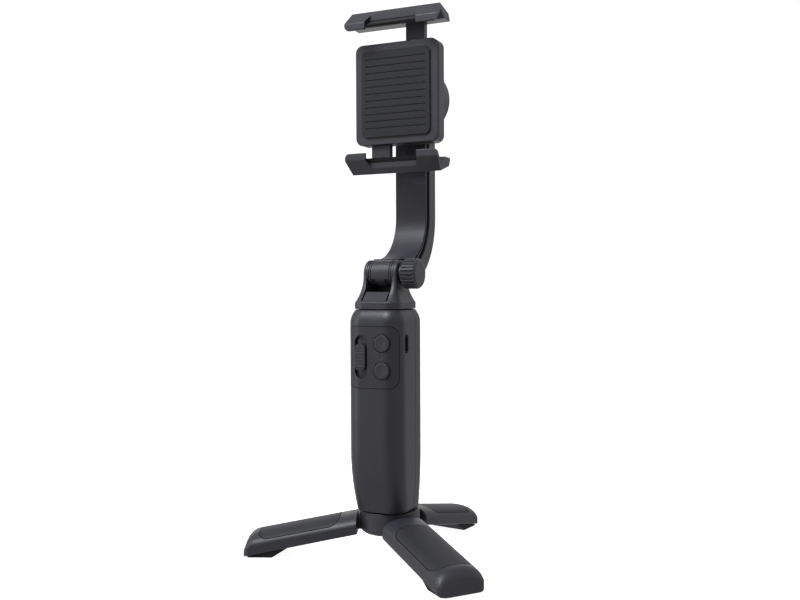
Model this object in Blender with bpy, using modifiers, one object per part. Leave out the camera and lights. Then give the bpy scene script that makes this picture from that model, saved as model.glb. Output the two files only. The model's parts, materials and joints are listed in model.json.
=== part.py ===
"""Single-axis gimbal stabilizer on a mini tripod, for Blender 4.5.

Metres, +Z up. Every piece is drawn in the assembly's own coordinates: Z runs up the tripod's axis from
the floor, and -Y is the side that the buttons and the held device face. The root empty then moves the
assembly, so that the world origin lies under the middle of its footprint.
"""

import math

import bmesh
import bpy
from mathutils import Matrix, Vector

MM = 0.001
GAP = 0.3 * MM

# Tripod
HUB_RADIUS = 15.5 * MM
HUB_BOTTOM = 12.0 * MM
HUB_TOP = 23.9 * MM
HUB_FILLET = 3.5 * MM
LEG_AZIMUTH = math.radians(81.6)
LEG_PIVOT = (8.5 * MM, 16.5 * MM)
LEG_START = 16.0 * MM
LEG_LENGTH = 58.8 * MM
LEG_END = LEG_START + LEG_LENGTH
LEG_HALF_WIDTH = 12.3 * MM
LEG_TOP = 22.4 * MM
LEG_SLOPE = 0.198
LEG_THICKNESS = 9.7 * MM
TIP_ANGLE = math.radians(76)
TIP_CORNER = 5.0 * MM
TIP_CORNER_V = LEG_HALF_WIDTH + 0.5 * MM - TIP_CORNER
LUG_RADIUS = 3.6 * MM
LUG_HALF_WIDTH = 3.5 * MM
STUD_RADIUS = 3.175 * MM

# Handle
HANDLE_Y = -4.0 * MM
HANDLE_HALF_WIDTH = 15.0 * MM
HANDLE_HALF_DEPTH = 17.0 * MM
HANDLE_CORNER = 9.0 * MM
HANDLE_BOTTOM = 24.5 * MM
HANDLE_TAPER_TOP = 56.0 * MM
HANDLE_SHOULDER = 119.6 * MM
HANDLE_TOP = 126.5 * MM
SHOULDER_RADIUS = 10.1 * MM
WALL = 2.5 * MM
SEAM_Y = -0.4 * MM
FACE_Y = HANDLE_Y - HANDLE_HALF_DEPTH
BUTTON_X = 5.8 * MM
BUTTON_RADIUS = 4.2 * MM
SHUTTER_Z = 110.0 * MM
MODE_Z = 96.5 * MM
ROCKER_X = -5.75 * MM
ROCKER_Z = 103.1 * MM
PANEL_BOTTOM = 87.8 * MM
PANEL_TOP = 118.3 * MM
PANEL_HALF_WIDTH = 13.4 * MM
PANEL_THICKNESS = 1.2 * MM
USB_Y = -11.0 * MM
USB_Z = 109.5 * MM

# Telescopic rod, stowed in the handle on the tripod's axis
GUIDE_RADIUS = 7.2 * MM
TUBE_WALL = 0.6 * MM
ROD_BOTTOM = 38.0 * MM
ROD_TOP = 125.9 * MM

# Tilt hinge, whose axis runs along X
HINGE_Y = HANDLE_Y
HINGE_Z = 144.5 * MM
COLLAR_BOTTOM = HANDLE_TOP + GAP
COLLAR_TOP = 130.4 * MM
EAR_OUTER = 9.3 * MM
EAR_INNER = 7.2 * MM
EAR_RADIUS = 7.0 * MM
BARREL_HALF_WIDTH = 6.1 * MM
BARREL_RADIUS = 6.3 * MM
PLATE_RADIUS = 7.0 * MM
KNOB_START = 11.4 * MM
KNOB_END = 19.5 * MM
KNOB_RADIUS = 7.65 * MM
KNOB_RIBS = 24

# Arm: concentric arcs in the YZ plane, then a straight column
ARM_HALF_WIDTH = 9.0 * MM
ARM_ARC_Y = 4.5 * MM
ARM_ARC_Z = 175.3 * MM
ARM_INNER_RADIUS = 23.2 * MM
ARM_OUTER_RADIUS = 36.7 * MM
ARM_COVER_DEPTH = 4.7 * MM
ARM_BODY_RADIUS = ARM_INNER_RADIUS + ARM_COVER_DEPTH + GAP

# Roll motor, whose axis runs along Y through the clamp's centre
CLAMP_Z = 238.9 * MM
MOTOR_RADIUS = 18.0 * MM
MOTOR_BACK = ARM_ARC_Y + ARM_OUTER_RADIUS
MOTOR_FRONT = 24.4 * MM

# Clamp, drawn round a held device that is 70.9 mm tall and 7.7 mm thick
DEVICE_Y = 4.4 * MM
DEVICE_HALF_HEIGHT = 35.1 * MM
CLAMP_HALF_WIDTH = 23.5 * MM
CLAMP_HALF_HEIGHT = 26.5 * MM
JAW_HALF_LENGTH = 26.4 * MM
JAW_SHIFT = 1.8 * MM
STEM_INNER = 4.8 * MM
STEM_OUTER = 15.3 * MM
STEM_FRONT = 12.0 * MM
STEM_BACK = 15.6 * MM
GUIDE_X = 18.5 * MM
GUIDE_Y = 0.5 * (STEM_FRONT + STEM_BACK)
PINION_TEETH = 12
PINION_RADIUS = 4.0 * MM

COLLECTION = "gimbal_stabilizer"
COLORS = {
    "handle_plastic": ((0.045, 0.045, 0.050), 0.45, 0.0),
    "leg_plastic": ((0.043, 0.043, 0.048), 0.50, 0.0),
    "soft_pad": ((0.030, 0.030, 0.033), 0.70, 0.0),
    "button_plastic": ((0.050, 0.050, 0.055), 0.50, 0.0),
    "rubber": ((0.018, 0.018, 0.019), 0.85, 0.0),
    "arm_plastic": ((0.046, 0.046, 0.052), 0.42, 0.0),
    "steel": ((0.550, 0.550, 0.560), 0.30, 1.0),
    "brass": ((0.720, 0.540, 0.260), 0.35, 1.0),
    "copper": ((0.640, 0.330, 0.180), 0.40, 1.0),
    "board_green": ((0.020, 0.130, 0.060), 0.50, 0.0),
    "battery_wrap": ((0.120, 0.180, 0.320), 0.40, 0.0),
}


# ---------------------------------------------------------------- scene and materials


def clear_scene():
    for obj in list(bpy.data.objects):
        bpy.data.objects.remove(obj, do_unlink=True)


def make_materials():
    made = {}
    for name, (color, roughness, metallic) in COLORS.items():
        material = bpy.data.materials.new(name)
        material.use_nodes = True
        shader = material.node_tree.nodes["Principled BSDF"]
        shader.inputs["Base Color"].default_value = (*color, 1.0)
        shader.inputs["Roughness"].default_value = roughness
        shader.inputs["Metallic"].default_value = metallic
        made[name] = material
    return made


def link(obj):
    bpy.data.collections[COLLECTION].objects.link(obj)
    return obj


def empty(name, parent=None, location=(0, 0, 0), turn_z=0.0):
    """An empty that holds the pieces of one moving body, on its joint's axis."""
    obj = link(bpy.data.objects.new(name, None))
    obj.empty_display_size = 0.01
    obj.parent = parent
    obj.location = location
    obj.rotation_euler.z = turn_z
    return obj


def place(obj, name, material, parent):
    """Names a finished shape, and hangs it on a pivot with its origin there. Its mesh is in assembly
    coordinates, or in a leg's own coordinates under a leg's pivot."""
    obj.name = name
    obj.data.name = name
    obj.data.materials.clear()
    obj.data.materials.append(MATERIALS[material])
    obj.data.transform(Matrix.Translation(-Vector(parent["drawn_at"])))
    obj.data.shade_smooth()
    obj.data.set_sharp_from_angle(angle=math.radians(35))
    obj.parent = parent
    return obj


def pivot(name, parent, drawn_at, turn_z=0.0, location=None):
    """An empty at drawn_at in assembly coordinates, under another such empty."""
    if location is None:
        location = Vector(drawn_at) - Vector(parent["drawn_at"])
    obj = empty(name, parent, location, turn_z)
    obj["drawn_at"] = drawn_at
    return obj


# ---------------------------------------------------------------- shapes


def shape(bm, name="shape"):
    """A new object from a bmesh, with its faces pointing out."""
    bmesh.ops.recalc_face_normals(bm, faces=bm.faces)
    mesh = bpy.data.meshes.new(name)
    bm.to_mesh(mesh)
    bm.free()
    return link(bpy.data.objects.new(name, mesh))


def block(low, high):
    bm = bmesh.new()
    bmesh.ops.create_cube(bm, size=1.0)
    low, high = Vector(low), Vector(high)
    bmesh.ops.scale(bm, vec=high - low, verts=bm.verts)
    bmesh.ops.translate(bm, vec=(low + high) / 2, verts=bm.verts)
    return shape(bm)


# A drawing plane's two directions, then the direction it is extruded along.
AXES = {
    "X": Matrix(((0, 0, 1), (1, 0, 0), (0, 1, 0))),
    "Y": Matrix(((1, 0, 0), (0, 0, 1), (0, 1, 0))),
    "Z": Matrix(((1, 0, 0), (0, 1, 0), (0, 0, 1))),
}


def prism(outline, axis, low, high):
    """A flat outline, extruded along an axis. Its points are (y, z) for X, (x, z) for Y, (x, y) for Z."""
    bm = bmesh.new()
    ends = AXES[axis]
    face = bm.faces.new([bm.verts.new(ends @ Vector((a, b, low))) for a, b in outline])
    grown = bmesh.ops.extrude_face_region(bm, geom=[face])["geom"]
    verts = [item for item in grown if isinstance(item, bmesh.types.BMVert)]
    bmesh.ops.translate(bm, vec=ends @ Vector((0, 0, high - low)), verts=verts)
    return shape(bm)


def cylinder(radius, axis, at, low, high, steps=24):
    """A cylinder along an axis, through the point at of the plane across it."""
    outline = arc(at, radius, 0.0, 2 * math.pi, steps)[:-1]
    return prism(outline, axis, low, high)


def turned(profile, axis, at, steps=24, closed=True):
    """A turned shape: a profile of (radius, height) points, swept round an axis by a Screw modifier. A
    profile that isn't closed starts and ends on the axis."""
    bm = bmesh.new()
    points = [bm.verts.new((radius, 0, height)) for radius, height in profile]
    for first, second in zip(points, points[1:]):
        bm.edges.new((first, second))
    if closed:
        bm.edges.new((points[-1], points[0]))
    obj = shape(bm)
    screw = obj.modifiers.new("Screw", "SCREW")
    screw.steps = steps
    screw.render_steps = steps
    screw.use_merge_vertices = True
    screw.merge_threshold = 0.00001
    bake(obj)
    ends = AXES[axis]
    place_at = ends @ Vector((*at, 0))
    obj.data.transform(Matrix.Translation(place_at) @ ends.to_4x4())
    face_out(obj)
    return obj


def ring(inner, outer, axis, at, low, high, steps=24):
    return turned([(outer, high), (outer, low), (inner, low), (inner, high)], axis, at, steps)


def loft(rings):
    """A closed solid through rings of points, which all have the same count."""
    bm = bmesh.new()
    rows = [[bm.verts.new(point) for point in points] for points in rings]
    for lower, upper in zip(rows, rows[1:]):
        for i, point in enumerate(lower):
            j = (i + 1) % len(lower)
            bm.faces.new((point, lower[j], upper[j], upper[i]))
    bm.faces.new(rows[0])
    bm.faces.new(rows[-1])
    return shape(bm)


def arc(center, radius, start, end, steps):
    return [
        (
            center[0] + radius * math.cos(start + (end - start) * i / steps),
            center[1] + radius * math.sin(start + (end - start) * i / steps),
        )
        for i in range(steps + 1)
    ]


def rounded_rectangle(low, high, radius, steps=4):
    """The outline of a rectangle between two corner points, with round corners."""
    quarter = math.pi / 2
    corners = [
        (high[0] - radius, high[1] - radius),
        (low[0] + radius, high[1] - radius),
        (low[0] + radius, low[1] + radius),
        (high[0] - radius, low[1] + radius),
    ]
    points = []
    for i, corner in enumerate(corners):
        points += arc(corner, radius, i * quarter, (i + 1) * quarter, steps)
    return points


def bake(obj):
    """Replaces an object's mesh by what its modifiers make of it."""
    bpy.context.view_layer.update()
    evaluated = obj.evaluated_get(bpy.context.evaluated_depsgraph_get())
    mesh = bpy.data.meshes.new_from_object(evaluated)
    obj.modifiers.clear()
    obj.data = mesh
    return obj


def face_out(obj):
    bm = bmesh.new()
    bm.from_mesh(obj.data)
    bmesh.ops.recalc_face_normals(bm, faces=bm.faces)
    bm.to_mesh(obj.data)
    bm.free()


def combine(target, operation, others):
    for other in others:
        modifier = target.modifiers.new(operation, "BOOLEAN")
        modifier.operation = operation
        modifier.object = other
        bake(target)
        bpy.data.objects.remove(other, do_unlink=True)
    return target


def cut(target, *others):
    return combine(target, "DIFFERENCE", others)


def join(target, *others):
    return combine(target, "UNION", others)


def common(target, *others):
    return combine(target, "INTERSECT", others)


def copy(obj):
    return link(bpy.data.objects.new("copy", obj.data.copy()))


def moved(obj, matrix):
    obj.data.transform(matrix)
    return obj


# ---------------------------------------------------------------- tripod


def footprint_center():
    """The middle of the box round the three legs, whose tips are rounded in plan."""
    xs, ys = [], []
    for i in range(3):
        angle = LEG_AZIMUTH + i * 2 * math.pi / 3
        for side in (-1, 1):
            along, across = LEG_END - TIP_CORNER, side * TIP_CORNER_V
            x = along * math.cos(angle) - across * math.sin(angle)
            y = along * math.sin(angle) + across * math.cos(angle)
            xs += [x - TIP_CORNER, x + TIP_CORNER]
            ys += [y - TIP_CORNER, y + TIP_CORNER]
    return (min(xs) + max(xs)) / 2, (min(ys) + max(ys)) / 2


def leg_apex(u):
    """The height of the top of a leg's arch at a distance from the tripod's axis."""
    return LEG_TOP - LEG_SLOPE * (u - LEG_START)


def leg_underside(u):
    return leg_apex(u) - LEG_THICKNESS - 0.5 * MM * (u - LEG_START) / LEG_LENGTH


def leg_section(u, drop, narrow, lower=0.0):
    """One cross-section of a leg as points (u, v, z): flat sides and an arched top. drop takes the apex
    down, narrow takes the sides in, and lower moves the whole section down."""
    apex = leg_apex(u) - drop - lower
    under = leg_underside(u) - lower
    half = LEG_HALF_WIDTH - narrow
    shoulder = max(under + 1.5 * MM, apex - 6.0 * MM)
    rise = apex - shoulder
    points = [(half - 1.2 * MM, under), (half - 0.2 * MM, under + 1.2 * MM), (half, shoulder)]
    for i in range(1, 5):
        across = half * math.cos(i * math.pi / 10) ** 0.85
        points.append((across, shoulder + rise * math.sin(i * math.pi / 10)))
    mirrored = [(-v, z) for v, z in reversed(points)]
    return [(u, v, z) for v, z in points + [(0.0, apex)] + mirrored]


def leg_solid(lower=0.0):
    """A leg's outer form: straight, then rounded over into the slanted face of its tip."""
    stations = [(LEG_START, 0.0, 0.0), (LEG_START + 0.45 * LEG_LENGTH, 0.0, 0.0)]
    tip = 5.0 * MM
    deepest = LEG_THICKNESS - 1.2 * MM
    reach = (deepest - tip * (1 - math.cos(TIP_ANGLE))) / math.tan(TIP_ANGLE)
    ridge = LEG_END - reach - tip * math.sin(TIP_ANGLE)
    for i in range(5):
        turn = i * TIP_ANGLE / 4
        stations.append((ridge + tip * math.sin(turn), tip * (1 - math.cos(turn)), 0.0))
    stations.append((LEG_END, deepest, 0.0))
    return loft([leg_section(u, drop, narrow, lower) for u, drop, narrow in stations])


def leg_lug_outline(grow=0.0):
    """A leg's lug seen from the side, as (u, z) points: a disc on the pin, and a neck to the leg."""
    radius = LUG_RADIUS + grow
    disc = arc(LEG_PIVOT, radius, math.radians(65), math.radians(295), 8)
    neck = [(LEG_START + MM, LEG_PIVOT[1] + rise * MM) for rise in (-2.9, 3.2)]
    return disc + neck


def make_leg_meshes():
    """The leg, its inlay pad and its foot, each in the leg's own coordinates:
    u outwards, v across and z up."""
    pad_low = (LEG_START + 9.5 * MM, -11.0 * MM)
    pad_high = (LEG_END - 8.0 * MM, 11.0 * MM)
    pad_outline = rounded_rectangle(pad_low, pad_high, 5.0 * MM)
    recess_outline = rounded_rectangle(
        (pad_low[0] - GAP, pad_low[1] - GAP), (pad_high[0] + GAP, pad_high[1] + GAP), 5.0 * MM + GAP
    )
    floor = LEG_THICKNESS / 3
    leg = leg_solid()
    reach = TIP_CORNER_V + TIP_CORNER
    plan = rounded_rectangle((0, -reach), (LEG_END - 0.02 * MM, reach), TIP_CORNER, 8)
    common(leg, prism(plan, "Z", -5 * MM, 40 * MM))
    recess = cut(prism(recess_outline, "Z", floor, 30 * MM), leg_solid(lower=1.5 * MM))
    cut(leg, recess)
    lug = prism(leg_lug_outline(), "Y", -LUG_HALF_WIDTH, LUG_HALF_WIDTH)
    join(leg, lug)
    cut(leg, cylinder(1.5 * MM, "Y", LEG_PIVOT, -5 * MM, 5 * MM, steps=16))

    pad = common(prism(pad_outline, "Z", floor, 30 * MM), leg_solid())
    cut(pad, leg_solid(lower=1.2 * MM))

    heel = LEG_END - 23.0 * MM
    toe = LEG_END - 2.2 * MM
    side = [
        (heel, leg_underside(heel) - GAP),
        (heel + 8.0 * MM, 0.0),
        (toe - 0.6 * MM, 0.0),
        (toe, leg_underside(toe) - GAP),
    ]
    foot = prism(side, "Y", -10.4 * MM, 10.4 * MM)
    return leg, pad, foot


def make_tripod(root):
    base = pivot("tripod_base", root, (0, 0, 0))
    fillet = arc((HUB_RADIUS - HUB_FILLET, HUB_BOTTOM + HUB_FILLET), HUB_FILLET, -math.pi / 2, 0, 4)
    washer_radius = 11.0 * MM
    hub = turned(
        [(0, HUB_BOTTOM)]
        + fillet
        + [
            (HUB_RADIUS, HUB_TOP - 0.6 * MM),
            (HUB_RADIUS - 0.6 * MM, HUB_TOP),
            (washer_radius + 0.4 * MM, HUB_TOP),
            (washer_radius + 0.4 * MM, HUB_TOP - 1.3 * MM),
            (STUD_RADIUS + GAP, HUB_TOP - 1.3 * MM),
            (STUD_RADIUS + GAP, 14.2 * MM),
            (0, 14.2 * MM),
        ],
        "Z",
        (0, 0),
        steps=36,
        closed=False,
    )
    leg, pad, foot = make_leg_meshes()
    slot_half = LUG_HALF_WIDTH + GAP
    for i in range(3):
        turn = Matrix.Rotation(LEG_AZIMUTH + i * 2 * math.pi / 3, 4, "Z")
        slot_top = LEG_PIVOT[1] + LUG_RADIUS + GAP
        slot = block(
            (LEG_PIVOT[0] - LUG_RADIUS - GAP, -slot_half, 5 * MM), (25 * MM, slot_half, slot_top)
        )
        bore = cylinder(1.5 * MM, "Y", LEG_PIVOT, -6.8 * MM, 6.8 * MM, steps=12)
        cut(hub, moved(slot, turn), moved(bore, turn))
    place(hub, "tripod_hub", "leg_plastic", base)

    stud_top = HUB_TOP + 9.5 * MM
    stud = turned(
        [
            (0, 14.5 * MM),
            (STUD_RADIUS, 14.5 * MM),
            (STUD_RADIUS, stud_top - MM),
            (STUD_RADIUS - MM, stud_top),
            (0, stud_top),
        ],
        "Z",
        (0, 0),
        steps=16,
        closed=False,
    )
    place(stud, "tripod_stud", "steel", base)
    washer = ring(4.5 * MM, washer_radius, "Z", (0, 0), HUB_TOP - MM, HUB_TOP + GAP, steps=20)
    place(washer, "hub_washer", "rubber", base)

    for i in range(3):
        azimuth = LEG_AZIMUTH + i * 2 * math.pi / 3
        turn = Matrix.Rotation(azimuth, 4, "Z")
        pin = cylinder(1.2 * MM, "Y", LEG_PIVOT, -6.5 * MM, 6.5 * MM, steps=12)
        place(moved(pin, turn), f"leg_pin_{i + 1}", "steel", base)
        on_pin = (LEG_PIVOT[0], 0, LEG_PIVOT[1])
        hinge = pivot(f"leg_hinge_{i + 1}", base, on_pin, azimuth, turn @ Vector(on_pin))
        place(copy(leg), f"leg_{i + 1}", "leg_plastic", hinge)
        place(copy(pad), f"leg_pad_{i + 1}", "soft_pad", hinge)
        place(copy(foot), f"leg_foot_{i + 1}", "rubber", hinge)
    for template in (leg, pad, foot):
        bpy.data.objects.remove(template, do_unlink=True)
    return base


# ---------------------------------------------------------------- handle


def handle_ring(z, inset=0.0):
    """The handle's cross-section at a height: a rounded rectangle, which tapers towards the bottom, most
    of all on its front, and curves in at the shoulder."""
    taper = max(0.0, (HANDLE_TAPER_TOP - z) / (HANDLE_TAPER_TOP - HANDLE_BOTTOM)) ** 2
    shoulder = 0.0
    if z > HANDLE_SHOULDER:
        rise = z - HANDLE_SHOULDER
        shoulder = SHOULDER_RADIUS - math.sqrt(SHOULDER_RADIUS**2 - rise**2)
    inset = inset + shoulder
    half_width = HANDLE_HALF_WIDTH - 1.3 * MM * taper - inset
    front = HANDLE_Y - HANDLE_HALF_DEPTH + 5.0 * MM * taper + inset
    back = HANDLE_Y + HANDLE_HALF_DEPTH - 0.3 * MM * taper - inset
    outline = rounded_rectangle((-half_width, front), (half_width, back), HANDLE_CORNER - inset, 5)
    return [(x, y, z) for x, y in outline]


def handle_solid(low, high, inset=0.0):
    heights = [low] + [HANDLE_BOTTOM + i * 8.0 * MM for i in range(1, 5)]
    heights += [HANDLE_SHOULDER + i * 2.3 * MM for i in range(4)]
    heights = [z for z in heights if low <= z < high] + [high]
    return loft([handle_ring(z, inset) for z in heights])


def stadium(center, half_width, half_height, steps=5):
    """An upright slot with round ends, as (x, z) points."""
    x, z = center
    straight = half_height - half_width
    upper = arc((x, z + straight), half_width, 0, math.pi, steps)
    lower = arc((x, z - straight), half_width, math.pi, 2 * math.pi, steps)
    return upper + lower


def make_handle(parent):
    handle = pivot("handle_turn", parent, (0, 0, 0))
    whole = handle_solid(HANDLE_BOTTOM, HANDLE_TOP)
    cut(whole, handle_solid(HANDLE_BOTTOM + WALL, HANDLE_TOP - WALL + 0.3 * MM, WALL))
    cut(whole, cylinder(GUIDE_RADIUS + GAP, "Z", (0, 0), HANDLE_TOP - 2 * WALL, HANDLE_TOP + WALL))
    cut(whole, cylinder(5.4 * MM, "Z", (0, 0), HANDLE_BOTTOM - WALL, HANDLE_BOTTOM + 2 * WALL))
    reach = 40 * MM
    front_space = block((-reach, -reach, 0), (reach, SEAM_Y - GAP / 2, 0.2))
    back_space = block((-reach, SEAM_Y + GAP / 2, 0), (reach, reach, 0.2))
    back = common(copy(whole), back_space)
    front = common(whole, front_space)

    window = rounded_rectangle(
        (-PANEL_HALF_WIDTH, PANEL_BOTTOM), (PANEL_HALF_WIDTH, PANEL_TOP), 4.0 * MM
    )
    wide_window = rounded_rectangle(
        (-PANEL_HALF_WIDTH - GAP, PANEL_BOTTOM - GAP),
        (PANEL_HALF_WIDTH + GAP, PANEL_TOP + GAP),
        4.0 * MM + GAP,
    )
    panel = prism(window, "Y", -30 * MM, -14.5 * MM)
    cut(panel, handle_core(PANEL_THICKNESS))
    panel = common(panel, handle_core(0.0))
    recess = cut(prism(wide_window, "Y", -30 * MM, -14 * MM), handle_core(PANEL_THICKNESS + GAP))
    cut(front, recess)

    for z in (SHUTTER_Z, MODE_Z):
        at = (BUTTON_X, z)
        cut(panel, cylinder(BUTTON_RADIUS + GAP, "Y", at, -30 * MM, -15 * MM, steps=20))
        cut(front, cylinder(1.9 * MM, "Y", at, -30 * MM, -15 * MM, steps=12))
    rocker_at = (ROCKER_X, ROCKER_Z)
    cut(panel, prism(stadium(rocker_at, 3.5 * MM, 10.7 * MM), "Y", -30 * MM, -15 * MM))
    cut(front, prism(stadium(rocker_at, 1.7 * MM, 6.2 * MM), "Y", -30 * MM, -15 * MM))
    cut(front, prism(stadium((USB_Y, USB_Z), 2.0 * MM, 4.65 * MM), "X", 10 * MM, 20 * MM))

    place(front, "handle_front_shell", "handle_plastic", handle)
    place(back, "handle_back_shell", "handle_plastic", handle)
    place(panel, "control_panel", "handle_plastic", handle)
    make_handle_inside(handle)
    make_buttons(handle)
    return handle


def handle_core(inset):
    """The straight middle of the handle, drawn inset by some depth."""
    low, high = PANEL_BOTTOM - 5 * MM, PANEL_TOP + 1.2 * MM
    return loft([handle_ring(z, inset) for z in (low, high)])


def make_handle_inside(handle):
    board = block((-9 * MM, -16.9 * MM, 87 * MM), (9 * MM, -15.9 * MM, 119 * MM))
    place(board, "main_circuit_board", "board_green", handle)
    battery = prism(
        rounded_rectangle((-10.5 * MM, -15.6 * MM), (10.5 * MM, -8.3 * MM), 1.5 * MM, 2),
        "Z",
        42 * MM,
        85 * MM,
    )
    place(battery, "battery_cell", "battery_wrap", handle)

    thread_block = prism(
        rounded_rectangle((-10.5 * MM, -10.5 * MM), (10.5 * MM, 9.5 * MM), 4.0 * MM),
        "Z",
        HANDLE_BOTTOM + WALL + GAP,
        36.0 * MM,
    )
    cut(thread_block, cylinder(5.4 * MM, "Z", (0, 0), 20 * MM, 40 * MM))
    place(thread_block, "thread_block", "handle_plastic", handle)
    insert = ring(STUD_RADIUS + GAP, 5.0 * MM, "Z", (0, 0), HANDLE_BOTTOM + GAP, 35.8 * MM, steps=20)
    place(insert, "thread_insert", "brass", handle)

    guide = tube(GUIDE_RADIUS, ROD_BOTTOM - MM, HANDLE_TOP - GAP, flare=0.0)
    place(guide, "rod_guide_tube", "steel", handle)

    length, width = 8.8 * MM, 3.2 * MM
    socket = prism(stadium((USB_Y, USB_Z), width / 2, length / 2), "X", 7.0 * MM, 13.6 * MM)
    inner = prism(
        stadium((USB_Y, USB_Z), width / 2 - 0.35 * MM, length / 2 - 0.35 * MM), "X", 8.3 * MM, 16 * MM
    )
    cut(socket, inner)
    tongue = block(
        (8.0 * MM, USB_Y - 0.35 * MM, USB_Z - 3.3 * MM), (12.4 * MM, USB_Y + 0.35 * MM, USB_Z + 3.3 * MM)
    )
    join(socket, tongue)
    place(socket, "usb_c_socket", "steel", handle)

    head = HANDLE_Y + HANDLE_HALF_DEPTH - WALL - GAP - 0.2 * MM
    for name, z in (("upper", 116.0 * MM), ("lower", 60.0 * MM)):
        screw = turned(
            [
                (0, head - 3.2 * MM),
                (0.9 * MM, head - 3.2 * MM),
                (0.9 * MM, head - 0.9 * MM),
                (1.8 * MM, head - 0.9 * MM),
                (1.8 * MM, head),
                (0, head),
            ],
            "Y",
            (-5.0 * MM, z),
            steps=12,
            closed=False,
        )
        place(screw, f"case_screw_{name}", "steel", handle)


def make_buttons(handle):
    plate_back = FACE_Y + PANEL_THICKNESS - 0.1 * MM
    for name, z in (("shutter_button", SHUTTER_Z), ("mode_button", MODE_Z)):
        seat = pivot(f"{name}_travel", handle, (BUTTON_X, FACE_Y, z))
        cap = turned(
            [
                (0, FACE_Y - 0.35 * MM),
                (BUTTON_RADIUS - 0.5 * MM, FACE_Y - 0.2 * MM),
                (BUTTON_RADIUS, FACE_Y + 0.2 * MM),
                (BUTTON_RADIUS, plate_back - 0.6 * MM),
                (1.5 * MM, plate_back - 0.6 * MM),
                (1.5 * MM, FACE_Y + 3.4 * MM),
                (0, FACE_Y + 3.4 * MM),
            ],
            "Y",
            (BUTTON_X, z),
            steps=20,
            closed=False,
        )
        place(cap, name, "button_plastic", seat)

    seat = pivot("zoom_rocker_travel", handle, (ROCKER_X, FACE_Y, ROCKER_Z))
    half_width, half_height = 2.8 * MM, 6.7 * MM
    rocker = prism(
        rounded_rectangle(
            (ROCKER_X - half_width, ROCKER_Z - half_height),
            (ROCKER_X + half_width, ROCKER_Z + half_height),
            2.0 * MM,
        ),
        "Y",
        FACE_Y - 1.0 * MM,
        plate_back,
    )
    ribs = 6
    for i in range(ribs):
        z = ROCKER_Z + (i - (ribs - 1) / 2) * 1.8 * MM
        groove = block(
            (ROCKER_X - 5 * MM, FACE_Y - 2 * MM, z - 0.3 * MM),
            (ROCKER_X + 5 * MM, FACE_Y - 0.6 * MM, z + 0.3 * MM),
        )
        cut(rocker, groove)
    stem = block(
        (ROCKER_X - 1.2 * MM, FACE_Y + MM, ROCKER_Z - 2.2 * MM),
        (ROCKER_X + 1.2 * MM, FACE_Y + 3.4 * MM, ROCKER_Z + 2.2 * MM),
    )
    join(rocker, stem)
    place(rocker, "zoom_rocker", "button_plastic", seat)


# ---------------------------------------------------------------- telescopic rod


def tube(radius, bottom, top, flare=GAP):
    """A rod section: a thin tube with a wider foot, and a narrower lip at its mouth."""
    inner = radius - TUBE_WALL - flare / 3
    foot, lip = 3.0 * MM, 2.0 * MM
    profile = [
        (radius, top),
        (radius, bottom + foot),
        (radius + flare, bottom + foot),
        (radius + flare, bottom),
        (inner, bottom),
        (inner, top - lip),
        (inner - GAP, top - lip),
        (inner - GAP, top),
    ]
    if not flare:
        profile = profile[:1] + profile[3:]
    return turned(profile, "Z", (0, 0), steps=20)


def make_rods(handle):
    bodies = []
    parent = handle
    radius = GUIDE_RADIUS - TUBE_WALL - 2 * GAP
    for i in range(3):
        parent = pivot(f"rod_slide_{i + 1}", parent, (0, 0, ROD_BOTTOM + i * 0.5 * MM))
        top = ROD_TOP + i * 0.2 * MM
        if i == 2:
            top = COLLAR_TOP + 2.0 * MM
        section = tube(radius, ROD_BOTTOM + i * 0.5 * MM, top)
        place(section, f"rod_section_{i + 1}", "steel", parent)
        bodies.append(parent)
        radius -= TUBE_WALL + GAP / 3 + 2 * GAP
    return bodies[-1], radius + TUBE_WALL + GAP / 3 + 2 * GAP


# ---------------------------------------------------------------- tilt hinge


def base_ring(z, half_width, half_depth, radius):
    outline = rounded_rectangle(
        (-half_width, HINGE_Y - half_depth), (half_width, HINGE_Y + half_depth), radius, 4
    )
    return [(x, y, z) for x, y in outline]


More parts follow.
